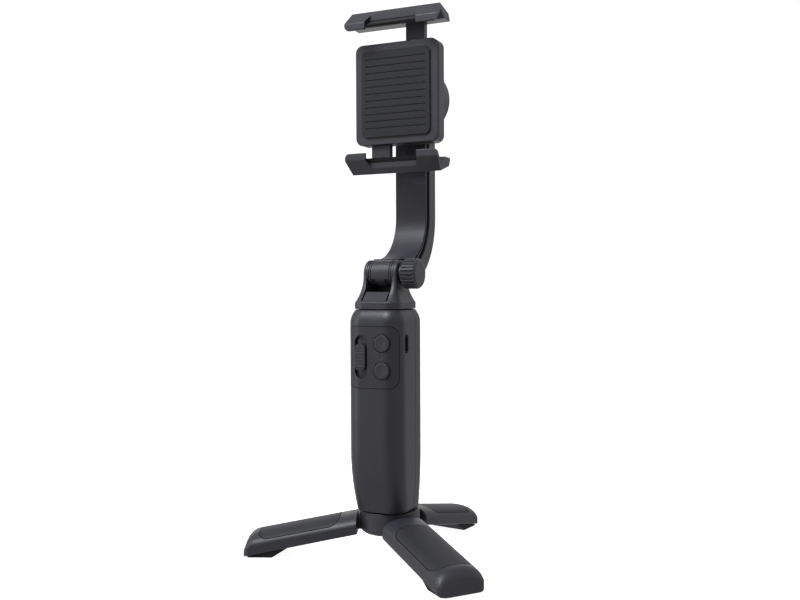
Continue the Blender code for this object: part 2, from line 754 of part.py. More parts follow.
def make_hinge_base(rod, rod_radius):
    """The collar on top of the rod, flaring up into the two ears of the tilt hinge."""
    flare_height = HINGE_Z - COLLAR_TOP
    rings = [
        base_ring(COLLAR_BOTTOM, 12.6 * MM, 14.4 * MM, 6.8 * MM),
        base_ring(COLLAR_BOTTOM + 0.4 * MM, 12.8 * MM, 14.6 * MM, 7.0 * MM),
        base_ring(COLLAR_TOP - 0.3 * MM, 12.8 * MM, 14.6 * MM, 7.0 * MM),
    ]
    for i in range(7):
        share = i / 6
        ease = (1 - share) ** 2.6
        rings.append(
            base_ring(
                COLLAR_TOP + share * flare_height,
                EAR_OUTER + 3.3 * MM * ease,
                EAR_RADIUS + 7.4 * MM * (1 - share) ** 2.2,
                0.8 * MM + 6.0 * MM * ease,
            )
        )
    base = loft(rings)
    hinge = (HINGE_Y, HINGE_Z)
    ear_face = EAR_OUTER - 0.01 * MM
    join(base, cylinder(EAR_RADIUS, "X", hinge, -ear_face, ear_face, 32))
    slot_floor = COLLAR_TOP + 3.9 * MM
    sill = HINGE_Y + 4.0 * MM
    cut(base, block((-EAR_INNER, -40 * MM, slot_floor), (EAR_INNER, sill, 160 * MM)))
    cut(base, block((-EAR_INNER, sill - MM, HINGE_Z - BARREL_RADIUS), (EAR_INNER, 40 * MM, 160 * MM)))
    ledge_back = HINGE_Y - EAR_RADIUS - 0.2 * MM
    cut(base, block((-EAR_INNER, -40 * MM, COLLAR_TOP + 0.5 * MM), (EAR_INNER, ledge_back, 160 * MM)))
    cut(base, cylinder(2.3 * MM, "X", hinge, -20 * MM, 20 * MM, 16))
    cut(base, cylinder(4.0 * MM, "X", hinge, -20 * MM, -EAR_OUTER + 1.3 * MM, 16))
    cut(base, cylinder(rod_radius + GAP, "Z", (0, 0), 100 * MM, COLLAR_TOP + 2.4 * MM, 20))
    place(base, "hinge_base", "arm_plastic", rod)

    low = COLLAR_TOP + 0.6 * MM
    ledge_top = COLLAR_TOP + 5.0 * MM
    side = [
        (HINGE_Y - 13.6 * MM, low),
        (ledge_back - GAP, low),
        (ledge_back - GAP, ledge_top),
        (ledge_back - GAP - 1.4 * MM, ledge_top),
    ]
    cover = prism(side, "X", -EAR_INNER + 0.7 * MM, EAR_INNER - 0.7 * MM)
    place(cover, "hinge_front_cover", "arm_plastic", rod)

    bolt = turned(
        [
            (0, -EAR_OUTER + 0.1 * MM),
            (3.6 * MM, -EAR_OUTER + 0.1 * MM),
            (3.6 * MM, -EAR_OUTER + 1.2 * MM),
            (2.0 * MM, -EAR_OUTER + 1.2 * MM),
            (2.0 * MM, KNOB_END - 3.4 * MM),
            (0, KNOB_END - 3.4 * MM),
        ],
        "X",
        hinge,
        steps=16,
        closed=False,
    )
    place(bolt, "hinge_bolt", "steel", rod)
    for name, side_of in (("left", -1), ("right", 1)):
        inner, outer = BARREL_HALF_WIDTH + GAP, EAR_INNER - GAP
        low, high = sorted((side_of * inner, side_of * outer))
        washer = ring(2.3 * MM, 6.2 * MM, "X", hinge, low, high, steps=20)
        place(washer, f"friction_washer_{name}", "steel", rod)

    turn = pivot("tilt_knob_turn", rod, (KNOB_START, HINGE_Y, HINGE_Z))
    ribs = []
    for i in range(KNOB_RIBS):
        for share, radius in ((0.0, KNOB_RADIUS), (0.5, KNOB_RADIUS - 0.7 * MM)):
            angle = 2 * math.pi * (i + share) / KNOB_RIBS
            ribs.append((HINGE_Y + radius * math.cos(angle), HINGE_Z + radius * math.sin(angle)))
    knob = prism(ribs, "X", KNOB_START, KNOB_END)
    join(knob, cylinder(5.0 * MM, "X", hinge, EAR_OUTER + 0.4 * MM, KNOB_START + MM, 20))
    cut(knob, cylinder(2.3 * MM, "X", hinge, 0, KNOB_END - 2.8 * MM, 16))
    place(knob, "tilt_knob", "arm_plastic", turn)


# ---------------------------------------------------------------- arm and roll motor


def arm_outline(inner, outer, start_y, top):
    """The J of the arm as (y, z) points: level behind the hinge, then a quarter turn, then a column."""
    center = (ARM_ARC_Y, ARM_ARC_Z)
    down = -math.pi / 2
    outer_side = arc(center, outer, down, 0, 10)
    inner_side = arc(center, inner, 0, down, 10)
    return (
        [(start_y, ARM_ARC_Z - outer)]
        + outer_side
        + [(ARM_ARC_Y + outer, top), (ARM_ARC_Y + inner, top)]
        + inner_side
        + [(start_y, ARM_ARC_Z - inner)]
    )


def arm_layer(low, high, half_width):
    """A layer of the arm's front cover, between two depths below its front face."""
    bottom, top = HINGE_Y + 2.5 * MM, CLAMP_Z - 10 * MM
    outline = arm_outline(ARM_INNER_RADIUS + low, ARM_INNER_RADIUS + high, bottom, top)
    return prism(outline, "X", -half_width, half_width)


def knuckle_strip(hinge, start, end, half_width):
    """A strip that lies on the hinge barrel between two angles, in degrees from +Y towards +Z."""
    start, end = math.radians(start), math.radians(end)
    outer_side = arc(hinge, PLATE_RADIUS, start, end, 8)
    inner_side = arc(hinge, BARREL_RADIUS + 0.3 * MM, end, start, 8)
    return prism(outer_side + inner_side, "X", -half_width, half_width)


def make_arm(rod):
    tilt = pivot("tilt_hinge", rod, (0, HINGE_Y, HINGE_Z))
    hinge = (HINGE_Y, HINGE_Z)
    motor = (0, CLAMP_Z)
    outline = arm_outline(ARM_BODY_RADIUS, ARM_OUTER_RADIUS, HINGE_Y, CLAMP_Z)
    body = prism(outline, "X", -ARM_HALF_WIDTH, ARM_HALF_WIDTH)
    join(body, cylinder(MOTOR_RADIUS, "Y", motor, MOTOR_FRONT, MOTOR_BACK, 36))
    cut(body, cylinder(MOTOR_RADIUS - 1.7 * MM, "Y", motor, 0, MOTOR_BACK - 4.7 * MM, 36))
    cut(body, cylinder(MOTOR_RADIUS - 1.7 * MM, "Y", motor, MOTOR_BACK - 2.2 * MM, 60 * MM, 36))
    holder = ring(5.9 * MM, 6.6 * MM, "Y", motor, 27.5 * MM, MOTOR_BACK - 4.5 * MM, 20)
    join(body, holder)
    cut(body, cylinder(2.6 * MM, "Y", motor, 20 * MM, 60 * MM, 16))
    shoulder = 8.7 * MM
    for side in (-1, 1):
        low, high = sorted((side * BARREL_HALF_WIDTH, side * 20 * MM))
        cut(body, cylinder(shoulder, "X", hinge, low, high, 24))
        room_low = (low, HINGE_Y - 5 * MM, HINGE_Z - 20 * MM)
        room_high = (high, HINGE_Y + 11 * MM, HINGE_Z - 2.3 * MM)
        cut(body, block(room_low, room_high))
    join(body, cylinder(BARREL_RADIUS, "X", hinge, -BARREL_HALF_WIDTH, BARREL_HALF_WIDTH, 28))
    plate_half = BARREL_HALF_WIDTH - 1.2 * MM
    for side in (-1, 1):
        low, high = sorted((side * (plate_half + GAP), side * (BARREL_HALF_WIDTH - 0.01 * MM)))
        join(body, cylinder(PLATE_RADIUS, "X", hinge, low, high, 28))
    cut(body, cylinder(2.3 * MM, "X", hinge, -20 * MM, 20 * MM, 16))
    place(body, "arm_body", "arm_plastic", tilt)

    cover = arm_layer(0, ARM_COVER_DEPTH, ARM_HALF_WIDTH - 1.6 * MM)
    join(cover, arm_layer(-0.01 * MM, 0.8 * MM, ARM_HALF_WIDTH - 0.2 * MM))
    join(cover, arm_layer(2.4 * MM, 3.4 * MM, ARM_HALF_WIDTH - 0.8 * MM))
    cut(cover, cylinder(MOTOR_RADIUS + GAP, "Y", motor, 0, 60 * MM, 36))
    cut(cover, cylinder(BARREL_RADIUS + 1.0 * MM, "X", hinge, -20 * MM, 20 * MM, 28))
    for side in (-1, 1):
        low, high = sorted((side * BARREL_HALF_WIDTH, side * 20 * MM))
        cut(cover, cylinder(shoulder, "X", hinge, low, high, 24))
    place(cover, "arm_cover", "arm_plastic", tilt)

    plate = knuckle_strip(hinge, 80, 203, plate_half)
    join(plate, knuckle_strip(hinge, 195, 243, plate_half / 2))
    place(plate, "knuckle_cover", "arm_plastic", tilt)
    make_motor_inside(tilt, motor)
    return tilt


def make_motor_inside(tilt, motor):
    teeth = 9
    outline = []
    for i in range(teeth):
        for share, radius in ((0.0, 13.6), (0.30, 13.6), (0.42, 9.5), (0.88, 9.5)):
            angle = 2 * math.pi * (i + share) / teeth
            outline.append((radius * MM * math.cos(angle), CLAMP_Z + radius * MM * math.sin(angle)))
    stator = prism(outline, "Y", 27.0 * MM, 33.8 * MM)
    cut(stator, cylinder(6.9 * MM, "Y", motor, 20 * MM, 50 * MM, 20))
    place(stator, "motor_stator", "copper", tilt)
    board = ring(7.0 * MM, 14.0 * MM, "Y", motor, 34.4 * MM, 35.4 * MM, 20)
    place(board, "motor_board", "board_green", tilt)
    for name, low in (("front", 27.8 * MM), ("rear", 32.4 * MM)):
        bearing = ring(2.3 * MM, 5.55 * MM, "Y", motor, low, low + 3.0 * MM, 16)
        place(bearing, f"bearing_{name}", "steel", tilt)
    cap = cylinder(MOTOR_RADIUS - 2.0 * MM, "Y", motor, MOTOR_BACK - 1.9 * MM, MOTOR_BACK, 32)
    place(cap, "motor_back_cap", "arm_plastic", tilt)


# ---------------------------------------------------------------- phone clamp


def make_clamp(tilt):
    roll = pivot("roll_motor", tilt, (0, 0, CLAMP_Z))
    motor = (0, CLAMP_Z)
    back = 19.0 * MM
    bell = turned(
        [
            (2.3 * MM, 21.4 * MM),
            (2.3 * MM, back + GAP),
            (8.0 * MM, back + GAP),
            (8.0 * MM, 21.4 * MM),
            (15.8 * MM, 21.4 * MM),
            (15.8 * MM, 34.0 * MM),
            (14.2 * MM, 34.0 * MM),
            (14.2 * MM, 24.0 * MM),
            (2.3 * MM, 24.0 * MM),
        ],
        "Y",
        motor,
        steps=28,
    )
    place(bell, "motor_rotor", "steel", roll)
    shaft = cylinder(1.95 * MM, "Y", motor, 17.5 * MM, 38.0 * MM, 12)
    place(shaft, "motor_shaft", "steel", roll)
    make_clamp_body(roll, motor, back)
    make_jaws(roll)


def clamp_outline(inset, radius):
    half_width, half_height = CLAMP_HALF_WIDTH - inset, CLAMP_HALF_HEIGHT - inset
    return rounded_rectangle(
        (-half_width, CLAMP_Z - half_height), (half_width, CLAMP_Z + half_height), radius, 4
    )


def make_clamp_body(roll, motor, back):
    front = 11.3 * MM
    base = prism(clamp_outline(0, 4.0 * MM), "Y", front, back)
    cut(base, prism(clamp_outline(2.2 * MM, 2.0 * MM), "Y", front - MM, back - 2.0 * MM))
    cut(base, cylinder(2.3 * MM, "Y", motor, 0, 40 * MM, 12))
    spread = GAP + 0.1 * MM
    for side in (-1, 1):
        low_x, high_x = sorted((side * (STEM_INNER - 1.4 * MM), side * (STEM_OUTER + spread)))
        low_z, high_z = sorted((side * 20 * MM, side * 40 * MM))
        slot = block(
            (low_x, STEM_FRONT - GAP, CLAMP_Z + low_z), (high_x, STEM_BACK + GAP, CLAMP_Z + high_z)
        )
        cut(base, slot)
        cut(base, cylinder(1.55 * MM, "Z", (side * GUIDE_X, GUIDE_Y), 0, 0.4, 12))
        guide = cylinder(
            1.25 * MM, "Z", (side * GUIDE_X, GUIDE_Y), CLAMP_Z - 25.8 * MM, CLAMP_Z + 25.8 * MM, 12
        )
        place(guide, f"guide_rod_{'left' if side < 0 else 'right'}", "steel", roll)
    place(base, "clamp_base", "arm_plastic", roll)

    plate = prism(clamp_outline(0, 4.0 * MM), "Y", 9.5 * MM, front - GAP)
    place(plate, "clamp_front_plate", "arm_plastic", roll)
    pad = prism(clamp_outline(4.0 * MM, 3.0 * MM), "Y", 8.4 * MM, 9.2 * MM)
    place(pad, "clamp_pad", "rubber", roll)

    turn = pivot("pinion_turn", roll, (0, GUIDE_Y, CLAMP_Z))
    outline = []
    for i in range(PINION_TEETH):
        for share, radius in ((-0.20, 3.35), (-0.11, 4.55), (0.11, 4.55), (0.20, 3.35)):
            angle = 2 * math.pi * (i + share) / PINION_TEETH
            outline.append((radius * MM * math.cos(angle), CLAMP_Z + radius * MM * math.sin(angle)))
    pinion = prism(outline, "Y", STEM_FRONT, STEM_BACK)
    place(pinion, "pinion", "button_plastic", turn)


def jaw_section():
    """The upper jaw's V section as (y, z) points: the lip's nose, the ridge, then the back wall."""
    y, z = DEVICE_Y, CLAMP_Z + DEVICE_HALF_HEIGHT
    points = [
        (-6.0, -3.3),
        (-6.0, 0.3),
        (1.0, 7.3),
        (11.2, 3.9),
        (11.2, -0.2),
        (3.8, -0.2),
        (0.0, 3.6),
        (-4.3, -0.7),
        (-4.3, -3.3),
    ]
    return [(y + a * MM, z + b * MM) for a, b in points]


def jaw_pad_section():
    y, z = DEVICE_Y, CLAMP_Z + DEVICE_HALF_HEIGHT
    points = [(-3.7, -0.6), (0.0, 3.15), (3.35, -0.2), (1.8, -0.2), (0.0, 1.6), (-2.2, -0.6)]
    return [(y + a * MM, z + b * MM) for a, b in points]


def rack_outline():
    """The upper jaw's stem as (x, z) points: a bar whose inner edge is a rack."""
    low, high = CLAMP_Z - 15.0 * MM, CLAMP_Z + DEVICE_HALF_HEIGHT + 2.0 * MM
    pitch = 2 * math.pi * PINION_RADIUS / PINION_TEETH
    points = [(STEM_OUTER, low), (STEM_OUTER, high), (STEM_INNER, high)]
    for i in range(5, -7, -1):
        z = CLAMP_Z + (i + 0.5) * pitch
        for share, x in ((0.20, 4.8), (0.08, 3.75), (-0.08, 3.75), (-0.20, 4.8)):
            points.append((x * MM, z + share * pitch))
    return points + [(STEM_INNER, low)]


def make_jaw(shift):
    """A jaw and its pad, the right way up, with the grip moved sideways on its stem."""
    end = JAW_HALF_LENGTH
    top = CLAMP_Z + DEVICE_HALF_HEIGHT
    jaw = prism(jaw_section(), "X", shift - end, shift + end)
    lip = DEVICE_Y - 2.0 * MM
    for side in (-1, 1):
        corner = [
            (shift + side * (end + 5.0 * MM), top - 5 * MM),
            (shift + side * (end - 3.6 * MM), top - 5 * MM),
            (shift + side * (end - 2.6 * MM), top - 3.2 * MM),
            (shift + side * (end - 1.0 * MM), top - 2.3 * MM),
            (shift + side * (end - 0.3 * MM), top - 0.6 * MM),
            (shift + side * (end - 0.3 * MM), top + 1.0 * MM),
            (shift + side * (end - 1.9 * MM), top + 9 * MM),
            (shift + side * (end + 5.0 * MM), top + 9 * MM),
        ]
        cut(jaw, prism(corner, "Y", -20 * MM, 40 * MM))
    notch = []
    for x, z in ((-14.5, -6), (-14.5, 0.8), (-12.5, 4.4), (12.5, 4.4), (14.5, 0.8), (14.5, -6)):
        notch.append((shift + x * MM, top + z * MM))
    cut(jaw, prism(notch, "Y", -20 * MM, lip))
    stem = prism(rack_outline(), "Y", STEM_FRONT, STEM_BACK)
    lug = block(
        (STEM_OUTER - MM, STEM_FRONT, CLAMP_Z - 15.0 * MM),
        (GUIDE_X + 2.5 * MM, STEM_BACK, CLAMP_Z - 12.0 * MM),
    )
    join(stem, lug)
    cut(stem, cylinder(1.55 * MM, "Z", (GUIDE_X, GUIDE_Y), 0, 0.4, 10))
    join(jaw, stem)
    pad = prism(jaw_pad_section(), "X", shift - end + 3.5 * MM, shift + end - 3.5 * MM)
    return jaw, pad


def make_spring():
    """The upper jaw's spring, between its lug and the clamp's upper wall, round the right guide rod."""
    low, high = CLAMP_Z - 11.4 * MM, CLAMP_Z + 23.7 * MM
    turns, per_turn = 6, 8
    count = turns * per_turn
    curve = bpy.data.curves.new("spring", "CURVE")
    curve.dimensions = "3D"
    curve.bevel_depth = 0.3 * MM
    curve.bevel_resolution = 1
    curve.use_fill_caps = True
    spline = curve.splines.new("POLY")
    spline.points.add(count)
    for i, point in enumerate(spline.points):
        angle = 2 * math.pi * i / per_turn
        radius = 2.25 * MM
        z = low + 0.3 * MM + (high - low - 0.6 * MM) * i / count
        point.co = (GUIDE_X + radius * math.cos(angle), GUIDE_Y + radius * math.sin(angle), z, 1)
    wire = link(bpy.data.objects.new("spring", curve))
    bpy.context.view_layer.update()
    graph = bpy.context.evaluated_depsgraph_get()
    mesh = bpy.data.meshes.new_from_object(wire.evaluated_get(graph))
    bpy.data.objects.remove(wire, do_unlink=True)
    bm = bmesh.new()
    bm.from_mesh(mesh)
    bmesh.ops.remove_doubles(bm, verts=bm.verts, dist=0.000001)
    return shape(bm)


def make_jaws(roll):
    """Both jaws with their pads and springs. The lower ones are drawn like the upper ones, with the grip
    moved the other way, and then turned over about the clamp's centre."""
    turn_over = (
        Matrix.Translation((0, 0, CLAMP_Z))
        @ Matrix.Rotation(math.pi, 4, "Y")
        @ Matrix.Translation((0, 0, -CLAMP_Z))
    )
    for name in ("upper", "lower"):
        slide = pivot(f"{name}_jaw_slide", roll, (0, DEVICE_Y, CLAMP_Z))
        jaw, pad = make_jaw(JAW_SHIFT if name == "upper" else -JAW_SHIFT)
        spring = make_spring()
        if name == "lower":
            for obj in (jaw, pad, spring):
                moved(obj, turn_over)
        place(jaw, f"{name}_jaw", "arm_plastic", slide)
        place(pad, f"{name}_jaw_pad", "rubber", slide)
        place(spring, f"{name}_spring", "steel", roll)


# ---------------------------------------------------------------- the whole object


def main():
    center_x, center_y = footprint_center()
    root = empty("gimbal_root", location=(-center_x, -center_y, 0))
    root["drawn_at"] = (0, 0, 0)
    base = make_tripod(root)
    handle = make_handle(base)
    rod, rod_radius = make_rods(handle)
    make_hinge_base(rod, rod_radius)
    tilt = make_arm(rod)
    make_clamp(tilt)


clear_scene()
bpy.context.scene.collection.children.link(bpy.data.collections.new(COLLECTION))
MATERIALS = make_materials()
main()
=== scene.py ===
"""Looks of the single-axis gimbal stabilizer, for Blender 4.5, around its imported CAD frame.

Metres, +Z up.
"""

import json
import math

import bmesh
import bpy
from mathutils import Matrix, Vector


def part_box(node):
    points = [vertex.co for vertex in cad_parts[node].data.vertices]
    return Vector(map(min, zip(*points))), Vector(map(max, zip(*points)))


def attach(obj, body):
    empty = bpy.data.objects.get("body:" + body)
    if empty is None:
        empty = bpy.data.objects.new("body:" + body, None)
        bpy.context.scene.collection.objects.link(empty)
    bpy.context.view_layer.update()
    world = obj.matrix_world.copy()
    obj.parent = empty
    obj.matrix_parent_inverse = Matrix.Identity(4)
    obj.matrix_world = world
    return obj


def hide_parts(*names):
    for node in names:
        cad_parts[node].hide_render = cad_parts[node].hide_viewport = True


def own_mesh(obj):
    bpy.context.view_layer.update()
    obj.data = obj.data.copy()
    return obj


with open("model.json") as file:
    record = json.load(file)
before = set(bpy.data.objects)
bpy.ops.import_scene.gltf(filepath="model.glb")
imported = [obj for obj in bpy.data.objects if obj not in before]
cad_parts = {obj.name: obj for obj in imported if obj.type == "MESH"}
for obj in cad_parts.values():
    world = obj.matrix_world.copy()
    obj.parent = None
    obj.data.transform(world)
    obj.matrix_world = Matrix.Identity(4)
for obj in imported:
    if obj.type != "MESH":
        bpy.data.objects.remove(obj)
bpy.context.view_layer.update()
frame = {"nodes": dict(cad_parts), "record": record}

MM = 0.001
GAP = 0.3 * MM
FINE = 96


def axis_of(node):
    low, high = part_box(node)
    return Vector(((low.x + high.x) / 2, (low.y + high.y) / 2, 0))


# The tripod's axis in the frame, and the boxes of the CAD nodes measured from it.
ORIGIN = axis_of("tripod_stud")


def span(node):
    low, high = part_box(node)
    return low - ORIGIN, high - ORIGIN


HUB_LOW, HUB_HIGH = span("tripod_hub")
FRONT_LOW, FRONT_HIGH = span("handle_front_shell")
BACK_LOW, BACK_HIGH = span("handle_back_shell")
PANEL_LOW, PANEL_HIGH = span("control_panel")
SHUTTER_LOW, SHUTTER_HIGH = span("shutter_button")
MODE_LOW, MODE_HIGH = span("mode_button")
ROCKER_LOW, ROCKER_HIGH = span("zoom_rocker")
USB_LOW, USB_HIGH = span("usb_c_socket")
BASE_LOW, BASE_HIGH = span("hinge_base")
KNOB_LOW, KNOB_HIGH = span("tilt_knob")
BOLT_LOW, BOLT_HIGH = span("hinge_bolt")
WASHER_LOW, WASHER_HIGH = span("friction_washer_right")
ARM_HIGH = span("arm_body")[1]
CAP_LOW, CAP_HIGH = span("motor_back_cap")
CLAMP_LOW, CLAMP_HIGH = span("clamp_base")
JAW_LOW, JAW_HIGH = span("upper_jaw")

# Tripod
HUB_RADIUS = HUB_HIGH.x
HUB_BOTTOM = HUB_LOW.z
HUB_TOP = HUB_HIGH.z
HUB_FILLET = 3.5 * MM
LEG_AZIMUTH = math.radians(81.6)
LEG_PIVOT = (8.5 * MM, HUB_BOTTOM + 4.5 * MM)
LEG_START = HUB_RADIUS + 0.5 * MM
LEG_LENGTH = 58.8 * MM
LEG_END = LEG_START + LEG_LENGTH
LEG_HALF_WIDTH = 12.3 * MM
LEG_TOP = HUB_TOP - 1.5 * MM
LEG_SLOPE = 0.198
LEG_THICKNESS = 9.7 * MM
TIP_ANGLE = math.radians(76)
TIP_RADIUS = 5.0 * MM
TIP_CORNER = 5.0 * MM
LUG_RADIUS = 3.6 * MM
LUG_HALF_WIDTH = 3.5 * MM

# Handle
FACE_Y = FRONT_LOW.y
HANDLE_Y = (FRONT_LOW.y + BACK_HIGH.y) / 2
HANDLE_HALF_DEPTH = (BACK_HIGH.y - FRONT_LOW.y) / 2
HANDLE_HALF_WIDTH = FRONT_HIGH.x
HANDLE_BOTTOM = FRONT_LOW.z
HANDLE_TOP = FRONT_HIGH.z
HANDLE_CORNER = 9.0 * MM
HANDLE_TAPER_TOP = HANDLE_BOTTOM + 31.5 * MM
SHOULDER_HEIGHT = 6.9 * MM
SHOULDER_RADIUS = 10.1 * MM
WALL = 2.5 * MM
SEAM_Y = (FRONT_HIGH.y + BACK_LOW.y) / 2
PANEL_THICKNESS = 1.2 * MM
GROOVE = 0.25 * MM
BUTTON_X = (SHUTTER_LOW.x + SHUTTER_HIGH.x) / 2
BUTTON_RADIUS = (SHUTTER_HIGH.x - SHUTTER_LOW.x) / 2
SHUTTER_Z = (SHUTTER_LOW.z + SHUTTER_HIGH.z) / 2
MODE_Z = (MODE_LOW.z + MODE_HIGH.z) / 2
ROCKER_X = (ROCKER_LOW.x + ROCKER_HIGH.x) / 2
ROCKER_Z = (ROCKER_LOW.z + ROCKER_HIGH.z) / 2
USB_Y = (USB_LOW.y + USB_HIGH.y) / 2
USB_Z = (USB_LOW.z + USB_HIGH.z) / 2

# Tilt hinge, whose axis runs along X
HINGE_Y = (KNOB_LOW.y + KNOB_HIGH.y) / 2
HINGE_Z = (KNOB_LOW.z + KNOB_HIGH.z) / 2
HINGE = (HINGE_Y, HINGE_Z)
COLLAR_BOTTOM = BASE_LOW.z
COLLAR_TOP = COLLAR_BOTTOM + 3.6 * MM
COLLAR_HALF_WIDTH = BASE_HIGH.x
COLLAR_HALF_DEPTH = (BASE_HIGH.y - BASE_LOW.y) / 2
EAR_RADIUS = BASE_HIGH.z - HINGE_Z
EAR_OUTER = COLLAR_HALF_WIDTH - 3.5 * MM
EAR_INNER = EAR_OUTER - 2.1 * MM
EAR_ROUNDING = 1.1 * MM
BARREL_HALF_WIDTH = WASHER_LOW.x - GAP
BARREL_RADIUS = 6.3 * MM
BOLT_HOLE = 2.3 * MM
PLATE_RADIUS = 7.0 * MM
PLATE_HALF_WIDTH = BARREL_HALF_WIDTH - 1.2 * MM
KNOB_START = KNOB_HIGH.x - 8.1 * MM
KNOB_END = KNOB_HIGH.x
KNOB_RADIUS = (KNOB_HIGH.y - KNOB_LOW.y) / 2
KNOB_RIBS = 24

# Arm: concentric arcs in the YZ plane, then a straight column. The roll motor's axis runs along Y.
CLAMP_Z = (CLAMP_LOW.z + CLAMP_HIGH.z) / 2
MOTOR = (0, CLAMP_Z)
ARM_HALF_WIDTH = 9.0 * MM
ARM_SHOULDER = 8.7 * MM
ARM_ARC_Y = 4.5 * MM
ARM_ARC_Z = 175.3 * MM
ARM_OUTER_RADIUS = ARM_HIGH.y - ARM_ARC_Y
ARM_INNER_RADIUS = ARM_OUTER_RADIUS - 13.5 * MM
ARM_COVER_DEPTH = 4.7 * MM
ARM_BODY_RADIUS = ARM_INNER_RADIUS + ARM_COVER_DEPTH + GROOVE
MOTOR_RADIUS = ARM_HIGH.z - CLAMP_Z
MOTOR_BACK = ARM_HIGH.y
MOTOR_FRONT = MOTOR_BACK - 16.8 * MM

# Clamp
CLAMP_HALF_WIDTH = CLAMP_HIGH.x
CLAMP_HALF_HEIGHT = (CLAMP_HIGH.z - CLAMP_LOW.z) / 2
JAW_SHIFT = (JAW_HIGH.x + JAW_LOW.x) / 2
JAW_HALF_LENGTH = (JAW_HIGH.x - JAW_LOW.x) / 2 + GAP
DEVICE_HALF_HEIGHT = JAW_HIGH.z - CLAMP_Z - 7.3 * MM
DEVICE_Y = JAW_LOW.y + 6.0 * MM
STEM_INNER = 4.8 * MM
STEM_OUTER = 15.3 * MM
STEM_FRONT = 12.0 * MM
STEM_BACK = 15.6 * MM
GUIDE_X = 18.5 * MM
GUIDE_Y = (STEM_FRONT + STEM_BACK) / 2
GUIDE_BORE = 1.55 * MM
PINION_TEETH = 12
PINION_RADIUS = 4.0 * MM
SPRING_START = CLAMP_Z - 11.4 * MM
SPRING_END = CLAMP_Z + 23.7 * MM


# ---------------------------------------------------------------- shapes


def add(name, data):
    """A new object in the scene."""
    obj = bpy.data.objects.new(name, data)
    bpy.context.scene.collection.objects.link(obj)
    return obj


def shape(bm):
    """A new object from a bmesh, with its faces pointing out."""
    bmesh.ops.recalc_face_normals(bm, faces=bm.faces)
    mesh = bpy.data.meshes.new("shape")
    bm.to_mesh(mesh)
    bm.free()
    return add("shape", mesh)


def block(low, high):
    bm = bmesh.new()
    bmesh.ops.create_cube(bm, size=1.0)
    low, high = Vector(low), Vector(high)
    bmesh.ops.scale(bm, vec=high - low, verts=bm.verts)
    bmesh.ops.translate(bm, vec=(low + high) / 2, verts=bm.verts)
    return shape(bm)


# A drawing plane's two directions, then the direction it is extruded along.
AXES = {
    "X": Matrix(((0, 0, 1), (1, 0, 0), (0, 1, 0))),
    "Y": Matrix(((1, 0, 0), (0, 0, 1), (0, 1, 0))),
    "Z": Matrix(((1, 0, 0), (0, 1, 0), (0, 0, 1))),
}


def loft(rings):
    """A closed solid through rings of points, which all have the same count."""
    bm = bmesh.new()
    rows = [[bm.verts.new(point) for point in points] for points in rings]
    for lower, upper in zip(rows, rows[1:]):
        for i, point in enumerate(lower):
            j = (i + 1) % len(lower)
            bm.faces.new((point, lower[j], upper[j], upper[i]))
    bm.faces.new(rows[0])
    bm.faces.new(rows[-1])
    return shape(bm)


def prism(outline, axis, low, high):
    """A flat outline, extruded along an axis: (y, z) points for X, (x, z) for Y and (x, y) for Z."""
    return loft([[AXES[axis] @ Vector((a, b, end)) for a, b in outline] for end in (low, high)])


def turned(profile, axis, at, steps=FINE):
    """A profile of (radius, height) points, swept round an axis through the point at. A profile that
    starts and ends on the axis is closed there, and any other closes on itself."""
    bm = bmesh.new()
    rows = []
    for i in range(steps):
        turn = Matrix.Rotation(2 * math.pi * i / steps, 3, "Z")
        points = [turn @ Vector((radius, 0, height)) + Vector((*at, 0)) for radius, height in profile]
        rows.append([bm.verts.new(AXES[axis] @ point) for point in points])
    count = len(profile)
    for i, row in enumerate(rows):
        after = rows[(i + 1) % steps]
        for j in range(count if profile[0][0] > 0 else count - 1):
            k = (j + 1) % count
            bm.faces.new((row[j], row[k], after[k], after[j]))
    bmesh.ops.remove_doubles(bm, verts=bm.verts, dist=0.001 * MM)
    bmesh.ops.dissolve_degenerate(bm, dist=0.001 * MM, edges=bm.edges)
    return shape(bm)


def arc(center, radius, start, end, steps=12):
    return [
        (
            center[0] + radius * math.cos(start + (end - start) * i / steps),
            center[1] + radius * math.sin(start + (end - start) * i / steps),
        )
        for i in range(steps + 1)
    ]


def cylinder(radius, axis, at, low, high, steps=FINE):
    return prism(arc(at, radius, 0, 2 * math.pi, steps)[:-1], axis, low, high)


def rounded_outline(corners, radii, steps=8):
    """A convex or notched outline whose corners are rounded, each by its own radius."""
    points = []
    count = len(corners)
    for i, corner in enumerate(corners):
        here = Vector(corner)
        to_last = (Vector(corners[i - 1]) - here).normalized()
        to_next = (Vector(corners[(i + 1) % count]) - here).normalized()
        half = to_last.angle(to_next) / 2
        radius = radii[i] if isinstance(radii, (list, tuple)) else radii
        if radius <= 0 or half > math.radians(88):
            points.append(tuple(here))
            continue
        middle = here + (to_last + to_next).normalized() * radius / math.sin(half)
        first = (here + to_last * radius / math.tan(half) - middle).normalized()
        last = (here + to_next * radius / math.tan(half) - middle).normalized()
        points += [tuple(middle + first.slerp(last, j / steps) * radius) for j in range(steps + 1)]
    return points


def in_mm(points, x=0.0, y=0.0):
    """Points given in millimetres from a place, in metres."""
    return [(x + a * MM, y + b * MM) for a, b in points]


def rectangle(low, high):
    return [(high[0], high[1]), (low[0], high[1]), (low[0], low[1]), (high[0], low[1])]


def rounded_rectangle(low, high, radius, steps=8):
    return rounded_outline(rectangle(low, high), radius, steps)


def stadium(center, half_width, half_height, steps=16):
    """An upright slot with round ends, as (x, z) points."""
    x, z = center
    straight = half_height - half_width
    upper = arc((x, z + straight), half_width, 0, math.pi, steps)
    lower = arc((x, z - straight), half_width, math.pi, 2 * math.pi, steps)
    return upper + lower


